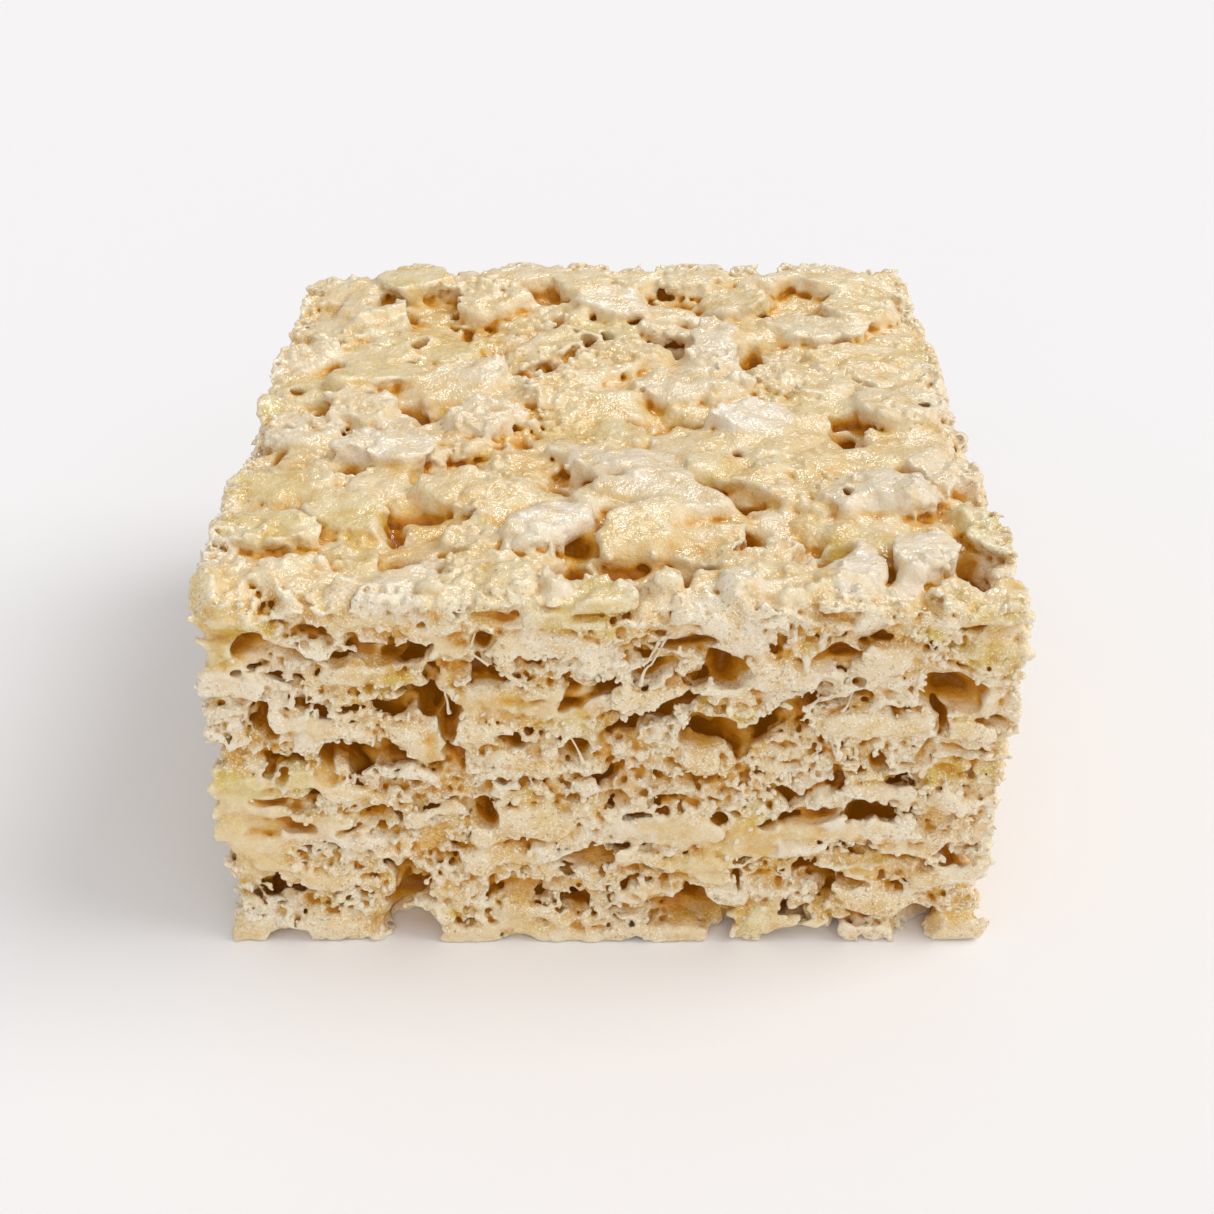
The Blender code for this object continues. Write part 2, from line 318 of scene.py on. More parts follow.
@dataclass(frozen=True)
class Gap:
    """A gap between grains: its middle, and its size along x, along y and up."""

    x: float
    y: float
    z: float
    wide: float
    deep: float
    tall: float

    def widened(self, scale: float) -> "Gap":
        """The same gap, made larger."""
        return Gap(self.x, self.y, self.z, self.wide * scale, self.deep * scale, self.tall * scale)


def turned(lean_x: float, lean_y: float, turn: float) -> np.ndarray:
    """The matrix of a rotation, from three angles in degrees."""
    angles = [math.radians(angle) for angle in (lean_x, lean_y, turn)]
    return np.array(Euler(angles).to_matrix(), np.float32)


@dataclass(frozen=True)
class Ridge:
    """A strand of marshmallow: its ends, half its thickness and its shade."""

    start: tuple[float, float, float]
    end: tuple[float, float, float]
    thick: float
    tint: float


@dataclass
class GrainBed:
    """Where every grain lies.

    Attributes:
        outline: the block's outline.
        highest_layer: the height of the highest layer below the top grains.
        layer_pitch: the height of a layer of pressed grains.
        row_pitch: the distance between rows in a layer.
        grain_pitch: the distance between grains in a row.
        length, width, thickness: a grain's usual size.
        shell: how deep the grains are made, below which the block is solid.
        top_fill: how many grains the top holds beside those that stand out.
        seed: the seed of the random draws.
        plates: the grains that stand out: x, y, length, width, turn, rise and shade of each.
    """

    outline: Outline
    highest_layer: float = 25.3
    layer_pitch: float = 2.28
    row_pitch: float = 3.9
    grain_pitch: float = 4.7
    length: float = 6.4
    width: float = 3.7
    thickness: float = 2.5
    shell: float = 6.6
    top_fill: int = 112
    seed: int = 11
    plates: tuple[tuple[float, ...], ...] = (
        (-22.6, -16.9, 7.4, 3.6, -8, -0.1, 0.92), (19.9, -20.4, 5.0, 2.8, -115, 0.25, 0.05),
        (15.4, -21.6, 6.0, 2.6, -98, -0.1, 0.06), (17.8, -12.3, 7.6, 4.0, -2, 0.3, 0.10),
        (8.3, -8.0, 6.8, 3.2, 5, -0.4, 0.88), (10.3, -1.5, 5.8, 3.8, 0, 0.0, 0.02),
        (21.1, 1.0, 6.0, 5.0, -9, 0.2, 0.30), (-3.7, -16.3, 6.9, 2.8, 45, 0.2, 0.04),
        (3.7, -12.2, 8.6, 3.4, -18, 0.0, 0.20), (-18.3, 1.4, 5.6, 4.2, 0, -0.2, 0.28),
        (-15.4, -5.4, 5.8, 4.2, -8, 0.1, 0.12), (-8.9, -1.0, 5.2, 3.8, 13, 0.0, 0.18),
        (-11.1, 5.2, 7.3, 4.6, 24, -0.1, 0.22), (16.5, 14.9, 8.4, 3.8, 4, 0.0, 0.25),
        (8.2, 11.6, 7.6, 3.8, -88, 0.1, 0.15), (6.5, 4.3, 7.5, 3.6, 4, 0.0, 0.24),
        (-22.1, 22.8, 7.2, 4.6, 14, 0.1, 0.55), (-16.2, 23.6, 5.0, 4.6, 6, 1.1, 0.90),
        (-12.0, 23.4, 3.4, 4.2, 0, 0.55, 0.50), (-7.1, 24.0, 6.6, 3.8, 12, 1.15, 0.35),
        (-2.2, 23.4, 4.0, 5.2, -10, 1.2, 0.60), (2.2, 24.1, 4.6, 3.8, 12, 0.9, 0.50),
        (7.3, 23.5, 6.0, 4.8, -8, 1.05, 0.40), (13.4, 24.1, 5.6, 3.8, 10, 1.0, 0.55),
        (18.9, 23.4, 6.4, 5.0, -14, 0.9, 0.45), (23.2, 23.0, 4.8, 4.6, 30, 0.5, 0.65),
        (-19.4, 18.6, 5.2, 3.8, 24, 0.3, 0.30), (-9.6, 19.9, 5.6, 4.2, 20, 0.5, 0.45),
        (0.4, 19.7, 6.2, 4.2, -16, 0.6, 0.15), (10.4, 19.6, 5.8, 4.4, 32, 0.5, 0.60),
        (20.8, 18.6, 5.4, 4.4, -22, 0.4, 0.75), (-18.9, -23.0, 6.0, 3.6, -40, -0.2, 0.35),
        (-24.0, -23.2, 6.2, 3.6, -52, -0.2, 0.40), (-8.6, -12.2, 8.2, 4.6, -19, 0.0, 0.50),
    )

    def depth_of(self, middle: np.ndarray) -> float:
        """How far a place is below the nearest face."""
        x, y, z = middle
        reach = self.outline
        return min(reach.height - z, z, reach.half_depth - abs(y), reach.half_width - abs(x))

    def top_grains(self, random: np.random.Generator, taken: list[tuple[float, float]]) -> list[Grain]:
        """The pressed grains of the top: those that stand out, then the rest spread between them.

        Args:
            random: the source of the random draws.
            taken: places that no grain covers.

        Returns:
            The grains.
        """
        rows = [
            (x, y, length, width, turn, self.outline.height + rise, tint)
            for x, y, length, width, turn, rise, tint in self.plates
        ]
        placed = np.array([(row[0], row[1]) for row in rows] + taken)
        reach = np.array([self.outline.half_width, self.outline.half_depth]) - 0.8
        for number in range(self.top_fill):
            drawn = random.uniform(-reach, reach, (24, 2))
            apart = (drawn[:, None, :] - placed[None, :, :]) / np.array([1.15, 1.0])
            best = drawn[int(np.argmax(np.hypot(apart[..., 0], apart[..., 1]).min(axis=1)))]
            placed = np.vstack([placed, best])
            scale = 1.2 - 0.5 * number / self.top_fill
            drop = random.uniform(0.0, 0.7) + 0.9 * number / self.top_fill
            size = (self.length * scale, self.width * random.uniform(0.9, 1.25))
            flat = self.outline.height - drop
            rows.append((*best, *size, random.normal(0, 38), flat, random.uniform(0.1, 1.0)))
        grains = []
        for x, y, length, width, turn, flat, tint in rows:
            thickness = self.thickness * random.uniform(1.0, 1.3) + max(0.0, flat - self.outline.height)
            lean = random.normal(0, 6, 2)
            slope = tuple(random.normal(0, 0.07, 2))
            middle = np.array([x, y, flat - thickness * 0.15], np.float32)
            half = np.array([length * 1.06, width * 1.12, thickness], np.float32) / 2
            grains.append(Grain(middle, half, turned(*lean, turn), flat, slope, tint))
        return grains

    def layered_grains(self, random: np.random.Generator) -> list[Grain]:
        """The grains of the layers under the top, near enough to a face to show.

        Args:
            random: the source of the random draws.

        Returns:
            The grains.
        """
        reach = self.outline
        grains = []
        for layer in range(int(self.highest_layer / self.layer_pitch) + 1):
            z = self.highest_layer - layer * self.layer_pitch
            for row, y in enumerate(np.arange(-reach.half_depth, reach.half_depth, self.row_pitch)):
                shift = self.grain_pitch * ((row + layer) % 2) / 2
                for x in np.arange(-reach.half_width - 1, reach.half_width + 1, self.grain_pitch):
                    jitter = random.uniform(-1, 1, 3) * (1.3, 1.1, 0.55)
                    middle = np.array([x + shift, y + 1.0, z], np.float32) + jitter.astype(np.float32)
                    sizes = random.uniform(0.82, 1.18, 3)
                    lean = random.normal(0, 11, 2)
                    turn = random.uniform(0, 180)
                    tint = random.uniform(0, 1)
                    if self.depth_of(middle) > self.shell:
                        continue
                    half = np.array([self.length, self.width, self.thickness]) * sizes / 2
                    half = half.astype(np.float32)
                    flat = reach.height - 1.1 - 0.8 * tint
                    grains.append(Grain(middle, half, turned(*lean, turn), flat, (0.0, 0.0), tint))
        return grains


@dataclass
class Gaps:
    """The gaps that show, where the knife or the press opened them.

    Attributes:
        cut_plane: where the gaps of the front are, along y.
        top: the pits of the top: the middle, and the size along x, along y and up.
        front: the holes of the front cut: x and z of the middle, and the size.
        foot: the arches along the front's foot, in the same way.
    """

    cut_plane: float = -26.0
    top: tuple[tuple[float, ...], ...] = (
        (-11.7, -8.2, 27.0, 2.9, 2.6, 7.0), (-3.2, -9.6, 27.4, 1.4, 1.9, 5.4),
        (-13.4, -20.0, 27.0, 1.9, 2.0, 5.6), (-13.8, -16.2, 27.4, 1.5, 3.2, 3.4),
        (-21.1, 1.2, 27.4, 1.6, 2.6, 3.4), (-18.2, -7.4, 27.4, 1.9, 2.2, 3.6),
        (-18.6, -4.0, 27.6, 1.6, 1.6, 3.0), (-14.6, 1.4, 27.2, 2.2, 1.6, 3.8),
        (-23.6, -5.6, 27.6, 1.6, 2.0, 3.0), (-2.5, -20.4, 27.0, 2.2, 2.2, 5.6),
        (-6.2, -3.4, 27.6, 1.4, 2.4, 3.4), (4.9, 12.2, 27.0, 3.0, 3.0, 5.4),
        (11.3, 10.4, 27.2, 1.8, 4.0, 5.0), (4.1, -1.0, 27.4, 1.6, 1.8, 3.6),
        (17.4, -2.6, 27.2, 2.0, 3.0, 4.4), (20.3, -8.8, 27.4, 1.8, 2.0, 3.6),
        (24.2, -10.4, 27.4, 1.3, 1.8, 3.4), (8.6, -12.0, 27.4, 3.4, 1.3, 4.2),
        (9.4, -16.2, 27.4, 1.6, 2.0, 4.0), (5.2, -21.2, 27.0, 2.8, 1.8, 5.4),
        (1.2, -22.6, 27.2, 1.4, 2.0, 4.2), (13.2, -19.2, 27.2, 3.2, 1.7, 4.6),
        (22.9, -21.0, 26.8, 2.6, 4.6, 6.0), (-18.0, 20.0, 27.4, 1.3, 3.0, 3.6),
        (-11.8, 15.6, 27.6, 1.3, 2.6, 3.2), (-13.4, 25.6, 29.2, 0.9, 3.0, 2.2),
        (3.6, 25.8, 29.0, 1.5, 4.0, 3.0), (13.2, 25.8, 28.8, 1.6, 4.0, 2.6),
    )
    front: tuple[tuple[float, ...], ...] = (
        (-21.9, 23.7, 2.4, 5.0, 1.7), (-18.4, 23.4, 4.6, 4.0, 0.8), (-15.3, 23.5, 3.0, 2.6, 0.7),
        (-12.8, 23.1, 2.3, 4.0, 1.1), (-21.8, 18.3, 1.7, 4.6, 2.4), (-17.0, 15.6, 3.2, 4.6, 2.2),
        (-18.0, 14.8, 1.2, 4.6, 2.6), (-21.4, 14.1, 1.1, 2.6, 1.2), (-8.0, 24.3, 1.8, 3.6, 1.2),
        (-8.3, 22.9, 0.9, 4.2, 1.9), (-10.8, 19.4, 1.5, 7.0, 2.4), (-9.7, 18.0, 1.4, 5.0, 2.4),
        (-9.9, 15.7, 1.2, 4.0, 1.3), (-5.7, 16.6, 2.5, 3.6, 1.1), (-2.0, 16.4, 2.2, 5.0, 2.0),
        (2.7, 22.4, 1.9, 4.4, 1.2), (5.6, 21.6, 0.9, 6.0, 0.8), (7.2, 22.1, 2.3, 5.4, 2.2),
        (6.2, 17.6, 2.9, 4.4, 2.6), (9.9, 16.8, 2.0, 2.6, 1.0), (14.7, 20.1, 2.8, 8.0, 1.2),
        (14.0, 23.1, 2.6, 3.4, 1.1), (21.4, 20.6, 3.0, 5.0, 2.2), (20.8, 18.6, 1.0, 5.0, 2.6),
        (23.5, 15.9, 1.8, 2.6, 0.7), (17.7, 15.0, 1.4, 3.0, 1.0), (-1.8, 7.4, 4.6, 5.0, 1.3),
        (-8.0, 11.0, 1.8, 4.0, 2.4), (-6.2, 4.2, 3.6, 3.6, 1.6), (-14.4, 10.8, 3.3, 2.8, 1.3),
        (-21.5, 12.0, 3.4, 2.2, 0.8), (13.7, 10.7, 3.4, 2.4, 0.8), (17.9, 11.4, 2.0, 3.2, 0.8),
        (16.4, 10.8, 2.2, 3.0, 1.2), (21.0, 10.1, 2.4, 3.0, 0.8), (20.1, 16.5, 0.7, 3.0, 1.8),
        (21.8, 15.7, 2.4, 3.0, 0.8), (4.3, 24.5, 4.4, 3.0, 1.0), (0.2, 12.0, 2.0, 3.0, 1.1),
        (3.5, 11.8, 1.8, 3.0, 0.9), (3.3, 14.8, 1.0, 2.4, 0.6), (5.8, 14.4, 1.4, 2.4, 0.6),
        (2.6, 6.1, 4.0, 2.6, 0.6), (8.1, 5.5, 0.7, 3.0, 2.2), (-4.9, 3.4, 1.8, 2.6, 0.8),
        (-20.4, 9.8, 1.6, 2.4, 1.0), (-13.7, 6.2, 0.9, 2.4, 1.3), (-14.9, 9.3, 1.3, 2.4, 0.7),
        (-2.6, 11.9, 1.6, 2.4, 0.6),
    )
    foot: tuple[tuple[float, ...], ...] = (
        (-13.4, 1.0, 3.2, 5.0, 3.0), (5.6, 2.6, 4.4, 5.0, 1.9), (7.6, 0.6, 1.4, 3.6, 2.6),
        (13.1, 0.2, 3.8, 4.0, 2.6), (21.0, 1.6, 2.6, 3.6, 2.4), (-22.0, 0.0, 2.4, 3.0, 1.2),
    )

    def measured(self) -> list[Gap]:
        """The gaps that were measured."""
        found = [Gap(*row) for row in self.top]
        return found + [Gap(x, self.cut_plane, *rest) for x, *rest in self.front + self.foot]


@dataclass
class WholeGrains:
    """The smooth grains and strands that the knife left whole along the front.

    Attributes:
        outline: the block's outline.
        strands: those that run over the front's top edge.
        faces: those in the front: x and z of both ends, half the thickness, and the shade.
    """

    outline: Outline
    strands: tuple[Ridge, ...] = (
        Ridge((19.2, -21.6, 27.6), (15.6, -25.4, 25.3), 0.95, 0.02),
        Ridge((15.4, -23.6, 27.2), (13.2, -25.3, 24.6), 0.80, 0.04),
        Ridge((8.2, -23.8, 27.0), (8.4, -25.3, 24.4), 1.30, 0.08),
        Ridge((3.4, -23.4, 27.1), (1.2, -25.3, 25.0), 1.00, 0.30),
        Ridge((-3.6, -23.8, 27.0), (-5.2, -25.3, 24.8), 1.10, 0.05),
        Ridge((-10.6, -24.0, 27.0), (-10.2, -25.3, 24.9), 1.00, 0.30),
        Ridge((-16.4, -23.8, 27.0), (-16.8, -25.3, 25.2), 1.10, 0.20),
        Ridge((-24.4, -24.2, 27.0), (-24.2, -25.0, 26.0), 1.40, 0.90),
        Ridge((24.0, -23.8, 26.4), (24.4, -25.2, 23.8), 0.90, 0.35),
    )
    faces: tuple[tuple[float, ...], ...] = (
        (-24.6, 21.3, -21.8, 20.6, 0.80, 0.10), (-20.8, 18.9, -19.3, 18.8, 0.75, 0.05),
        (-18.9, 17.0, -18.6, 16.9, 0.80, 0.05), (-16.6, 22.2, -14.4, 22.2, 0.95, 0.50),
        (-12.7, 17.0, -11.3, 17.0, 1.35, 0.45), (-9.0, 17.2, -6.2, 17.3, 1.15, 0.45),
        (-12.9, 14.2, -11.6, 13.9, 0.80, 0.15), (-12.2, 10.9, -9.6, 11.2, 0.80, 0.30),
        (-18.2, 13.4, -15.9, 12.6, 0.85, 0.50), (-17.3, 8.5, -15.2, 8.4, 0.75, 0.08),
        (-25.2, 17.1, -23.9, 16.9, 0.70, 0.10), (-24.4, 8.6, -21.4, 8.2, 0.75, 0.70),
        (-19.6, 5.2, -16.2, 4.6, 0.80, 0.40), (-4.3, 24.3, -1.3, 23.8, 0.95, 0.12),
        (-6.5, 24.2, -5.6, 22.9, 0.90, 0.65), (6.9, 24.9, 9.2, 24.8, 1.35, 0.05),
        (1.2, 20.8, 5.0, 20.8, 0.85, 0.50), (6.6, 21.0, 8.0, 20.7, 0.95, 0.60),
        (-5.6, 10.3, -3.2, 9.8, 1.70, 0.30), (-4.2, 7.7, -2.7, 7.6, 0.75, 0.00),
        (-8.0, 9.0, -7.3, 8.8, 1.00, 0.45), (-1.7, 13.1, -1.4, 12.9, 0.90, 0.10),
        (3.3, 9.7, 6.5, 9.6, 0.80, 0.40), (-6.5, 15.0, -3.9, 14.8, 0.95, 0.50),
        (5.3, 15.9, 6.5, 15.5, 0.90, 0.45), (-8.6, 7.2, -4.6, 6.8, 0.85, 0.55),
        (-6.6, 2.4, -2.8, 1.9, 0.80, 0.70), (1.4, 7.9, 6.9, 7.5, 0.60, 0.70),
        (4.6, 1.6, 7.6, 1.1, 0.85, 0.60), (10.0, 0.6, 9.9, 3.0, 1.00, 1.00),
        (11.2, 1.9, 12.9, 2.2, 0.75, 0.90), (16.4, 22.3, 18.9, 22.4, 1.80, 0.25),
        (9.3, 22.2, 11.8, 22.0, 1.35, 0.20), (12.3, 23.1, 13.4, 22.2, 0.65, 0.10),
        (14.0, 21.3, 15.6, 21.8, 0.60, 0.15), (14.8, 18.6, 19.6, 18.7, 0.95, 0.50),
        (15.6, 13.0, 19.3, 12.8, 0.75, 0.15), (17.7, 9.9, 19.6, 9.9, 0.90, 0.20),
        (13.7, 10.3, 14.7, 10.2, 0.60, 0.05), (11.3, 7.9, 14.3, 8.2, 0.70, 0.08),
        (16.4, 4.3, 19.4, 3.0, 1.65, 0.45), (20.6, 5.4, 24.2, 6.2, 0.95, 0.30),
        (16.3, 0.9, 19.6, 0.7, 0.70, 0.20), (21.4, 12.2, 23.2, 11.3, 0.90, 0.15),
        (22.2, 18.2, 23.8, 18.0, 0.80, 0.65), (-25.0, 0.9, -21.6, 0.8, 0.95, 0.45),
        (-20.2, 0.9, -16.4, 0.75, 1.00, 0.30), (-12.6, 0.7, -8.6, 0.8, 0.85, 0.40),
        (-7.6, 0.9, -3.6, 0.8, 0.95, 0.50), (-3.0, 0.7, 2.2, 0.8, 0.85, 0.25),
        (2.9, 0.65, 8.8, 0.6, 0.75, 0.35), (12.0, 1.5, 14.4, 1.6, 0.70, 0.60),
        (20.4, 0.9, 22.6, 0.8, 0.90, 0.55), (23.6, 0.8, 25.2, 0.9, 0.90, 0.35),
    )

    def all(self) -> list[Ridge]:
        """Every one of them."""
        found = list(self.strands)
        for x, z, to_x, to_z, thick, tint in self.faces:
            y = 0.75 * thick - self.outline.half_depth
            found.append(Ridge((x, y, z), (to_x, y, to_z), thick, tint))
        return found


@dataclass
class PressedMass:
    """The fused mass of grains, as distance fields over one grid.

    Noise is given in layers: how far each moves the surface, its spacing and its seed.

    Attributes:
        grid: the sample points.
        outline: the block's outline.
        web: how far the marshmallow webs reach between grains.
        coat: the thickness of marshmallow over each grain.
        glaze_drop: how far below the pressed grains the glaze between them stands.
        glaze_thickness: how thick that glaze is.
        back_rise: how much higher it stands behind, under the raised grains.
        back_rows: where that rise begins and ends, along y.
        flat_round: how far the edge of a pressed grain is rounded.
        knife_round: how far the edges at a cut are rounded.
        torn_depth: how deep below a cut its crumbs are made.
        torn_level: how much of the torn relief the knife shaved off again.
        shelf_depth: how deep a layer has broken out behind a cut.
        gap_scale: how much larger a gap is cut, for what the rough skin closes of it.
        side_gaps: how many smaller gaps the front, back, left and right show.
        top_gaps: how many the top shows.
        core_inset: how deep the solid core lies.
        parting: how far the grains are parted near the cut sides.
        front_inset, foot_inset: how far inside the front and the underside the whole grains end.
        bends: the noise that bends the grains, whose seeds go up by one for each axis.
        core_waves, glaze_waves, glaze_ripples: the noise of the core and of the glaze.
        glaze_cells, bead_cells: the rounded lumps of the glaze and of its dried beads.
        lumps_skin, fine_skin: the noise of the grains' skin.
        ridge_skin: that of the whole grains along the front.
        torn_layers, shelf_layers, crumb_cells: the relief of a cut.
        foam: the noise of the foam inside cut grains.
        ragged_edge: the noise of a gap's edge.
    """

    grid: Grid
    outline: Outline
    web: float = 0.20
    coat: float = 0.20
    glaze_drop: float = 2.1
    glaze_thickness: float = 0.9
    back_rise: float = 1.3
    back_rows: tuple[float, float] = (17.0, 21.0)
    flat_round: float = 0.07
    knife_round: float = 0.10
    torn_depth: float = 3.2
    torn_level: float = 0.35
    shelf_depth: float = 1.35
    gap_scale: float = 1.18
    side_gaps: tuple[int, ...] = (24, 56, 60, 60)
    top_gaps: int = 24
    core_inset: float = 5.2
    parting: float = 0.05
    front_inset: float = 0.12
    foot_inset: float = 0.14
    bends: Layers = ((0.60, 3.4, 100), (0.46, 1.5, 110), (0.15, 0.7, 115))
    core_waves: Layers = ((0.6, 3.0, 120),)
    glaze_waves: Layers = ((0.55, 3.0, 121),)
    glaze_ripples: Layers = ((0.18, 0.95, 122),)
    glaze_cells: tuple[float, float, int] = (0.9, 1.25, 123)
    bead_cells: tuple[float, float, int] = (0.60, 0.72, 133)
    lumps_skin: Layers = ((0.19, 1.05, 130),)
    fine_skin: Layers = ((0.11, 0.5, 131),)
    ridge_skin: Layers = ((0.24, 1.1, 156), (0.20, 0.5, 157), (0.10, 0.34, 158))
    torn_layers: Layers = ((0.36, (3.2, 3.2, 1.3), 140), (0.14, (1.1, 1.1, 0.6), 141))
    shelf_layers: Layers = ((1.0, (2.8, 2.8, 0.8), 143), (0.5, (1.4, 1.4, 0.5), 147))
    crumb_cells: Layers = ((0.95, 1.15, 145), (0.62, 0.55, 146))
    foam: Layers = ((0.6, 0.52, 151), (0.5, 0.33, 152))
    ragged_edge: Layers = ((0.28, 1.3, 153), (0.10, 0.6, 154))
    total: np.ndarray = field(init=False)
    tint: np.ndarray = field(init=False)
    crumb: np.ndarray = field(init=False)
    ragged: np.ndarray = field(init=False)
    place: tuple[np.ndarray, np.ndarray, np.ndarray] = field(init=False)
    mass: np.ndarray = field(init=False)

    def __post_init__(self) -> None:
        """Bends the sample points a little, so that no grain is a plain ellipsoid."""
        empty, usual_tint = 1e-3, 0.4
        self.total = np.full(self.grid.shape, empty, np.float32)
        self.tint = np.full(self.grid.shape, usual_tint * empty, np.float32)
        self.place = tuple(
            relief(self.grid, tuple((*bend[:2], bend[2] + number) for bend in self.bends)) + axis
            for number, axis in enumerate(self.grid.open_axes())
        )

    def ellipsoid(self, middle: np.ndarray, half: np.ndarray, turn: np.ndarray, margin: float):
        """The distance to a bent ellipsoid, near it.

        Args:
            middle: its middle.
            half: half its size along its own axes.
            turn: its rotation.
            margin: how far round it to go.

        Returns:
            The window of the grid and the distances there, or None outside the grid.
        """
        reach = np.abs(turn) @ half + margin
        window = self.grid.window(middle, reach)
        if window is None:
            return None
        offset = [self.place[axis][window] - middle[axis] for axis in range(3)]
        squared = 0.0
        steep = 0.0
        for axis in range(3):
            across = sum(offset[i] * (turn[i, axis] / half[axis]) for i in range(3))
            squared = squared + across * across
            steep = steep + (across / half[axis]) ** 2
        ratio = np.sqrt(squared)
        return window, ratio * (ratio - 1) / np.sqrt(steep + 1e-6)

    def grow(self, grains: list[Grain]) -> None:
        """Adds the grains, summed so that webs form between them."""
        x, y, z = self.grid.open_axes()
        for grain in grains:
            found = self.ellipsoid(grain.middle, grain.half, grain.turn, 1.4)
            if found is None:
                continue
            window, distance = found
            over = z[:, :, window[2]] - grain.flat
            over = over + grain.slope[0] * (x[window[0]] - grain.middle[0])
            over = over + grain.slope[1] * (y[:, window[1]] - grain.middle[1])
            distance = smooth_max(distance, over, self.flat_round * 2)
            weight = np.exp(-distance / self.web)
            self.total[window] += weight
            self.tint[window] += weight * np.float32(grain.tint)

    def fill(self) -> None:
        """Fills the block below the grains that show, and glazes the top between them."""
        self.tint /= self.total
        x, y, z = self.grid.open_axes()
        reach = self.outline
        depth = np.minimum(reach.half_width - np.abs(x), reach.half_depth - np.abs(y))
        depth = np.minimum(depth, np.minimum(reach.height - z, z))
        deepest, highest = -6.0, 3.0
        core = self.core_inset - depth + relief(self.grid, self.core_waves)
        self.total += np.exp(-np.clip(core, deepest, highest) / self.web)
        glaze = z - (reach.height - self.glaze_drop)
        glaze = glaze + relief(self.grid, self.glaze_waves)
        glaze = glaze - self.back_rise * smooth_step(y, *self.back_rows)
        glaze = glaze + relief(self.grid, self.glaze_ripples)
        window = self.above(reach.height - 5.0)
        if window is not None:
            far, spacing, seed = self.glaze_cells
            glaze[window] += far * CellNoise(spacing, seed).over(self.grid, window) - 0.25
        sheet = np.maximum(glaze, -self.glaze_thickness - glaze)
        self.total += np.exp(-np.clip(sheet, deepest, highest) / self.web)

    def above(self, height: float) -> tuple[slice, ...] | None:
        """The part of the grid above a height, or None where it has no such part."""
        low = max(int((height - self.grid.low[2]) / self.grid.step), 0)
        return (slice(None), slice(None), slice(low, None)) if low < self.grid.shape[2] else None

    def sugar(self) -> None:
        """Roughens the top in patches, where the glaze dried into small beads."""
        window = self.above(self.outline.height - 3.0)
        if window is not None:
            far, spacing, seed = self.bead_cells
            patch = smooth_step(relief(self.grid, ((1.0, 4.4, 132),))[window], -0.5, 0.4)
            beads = CellNoise(spacing, seed).over(self.grid, window) - 0.2
            self.mass[window] += far * patch * beads

    def lay_ridges(self, ridges: list[Ridge]) -> None:
        """Lays the whole grains and strands over what was cut."""
        y, z = self.grid.open_axes()[1:]
        faces = np.maximum(self.front_inset - y - self.outline.half_depth, self.foot_inset - z)
        skin = relief(self.grid, self.ridge_skin)
        for ridge in ridges:
            ends = np.array([ridge.start, ridge.end], np.float32)
            middle, reach = ends.mean(axis=0), np.abs(ends[1] - ends[0]) / 2 + ridge.thick + 1.2
            window = self.grid.window(middle, reach)
            if window is None:
                continue
            run = ends[1] - ends[0]
            offset = [self.place[axis][window] - ends[0][axis] for axis in range(3)]
            along = sum(offset[axis] * run[axis] for axis in range(3)) / float(run @ run)
            along = np.clip(along, 0.0, 1.0)
            squared = sum((offset[axis] - along * run[axis]) ** 2 for axis in range(3))
            radius = ridge.thick * (1 - 0.35 * along)
            distance = np.sqrt(squared) - radius + skin[window]
            distance = smooth_max(distance, faces[:, window[1], window[2]] + 0 * squared, 0.3)
            self.mass[window] = -smooth_max(-self.mass[window], -distance, 0.3)
            near = 1 - smooth_step(distance, 0.0, 0.5)
            self.crumb[window] *= 1 - 0.4 * near
            self.tint[window] += (ridge.tint - self.tint[window]) * near

    def fuse(self) -> None:
        """Joins the grains into one mass, with a lumpy skin."""
        self.mass = -self.web * np.log(self.total) - self.coat
        self.mass += relief(self.grid, self.lumps_skin)
        self.mass += relief(self.grid, self.fine_skin)

    def side_depth(self) -> np.ndarray:
        """How far each sample is from the nearest of the four cut sides."""
        x, y, z = self.grid.open_axes()
        reach = self.outline
        return np.minimum(reach.half_width - np.abs(x), reach.half_depth - np.abs(y)) + 0 * z

    def patches(self) -> np.ndarray:
        """Where the cut grains show their crumb: 1 there, and 0 where they are smooth."""
        return smooth_step(LatticeNoise((4.2, 4.2, 2.0), 150).over(self.grid), -0.6, 0.15)

    def part(self) -> None:
        """Parts the grains near the cut sides, in the places where the knife broke them apart."""
        z = self.grid.open_axes()[2]
        loose = smooth_step(LatticeNoise((5.0, 5.0, 2.6), 155).over(self.grid), -0.6, 0.4)
        loose = loose * (1 - smooth_step(self.side_depth(), 1.8, 4.2))
        loose = loose * (1 - smooth_step(z, self.outline.height - 3.2, self.outline.height - 1.8))
        self.mass += self.parting * loose * smooth_step(z, 0.6, 2.4)

    def lumps(self) -> np.ndarray:
        """How deep the creases between crumbs are, near the cut sides."""
        creases = np.zeros(self.grid.shape, np.float32)
        reach, step = self.outline, self.grid.step
        room = int(round(self.torn_depth / step))
        for axis, half in ((0, reach.half_width), (1, reach.half_depth)):
            for start, way in ((-half, 1), (half, -1)):
                edge = int(round((start - self.grid.low[axis]) / step))
                first, last = sorted((edge - 3 * way, edge + room * way))
                first, last = max(first, 0), min(last, self.grid.shape[axis])
                if first >= last:
                    continue
                window = tuple(slice(first, last) if i == axis else slice(None) for i in range(3))
                creases[window] = sum(
                    far * CellNoise(spacing, seed).over(self.grid, window)
                    for far, spacing, seed in self.crumb_cells
                )
        return creases

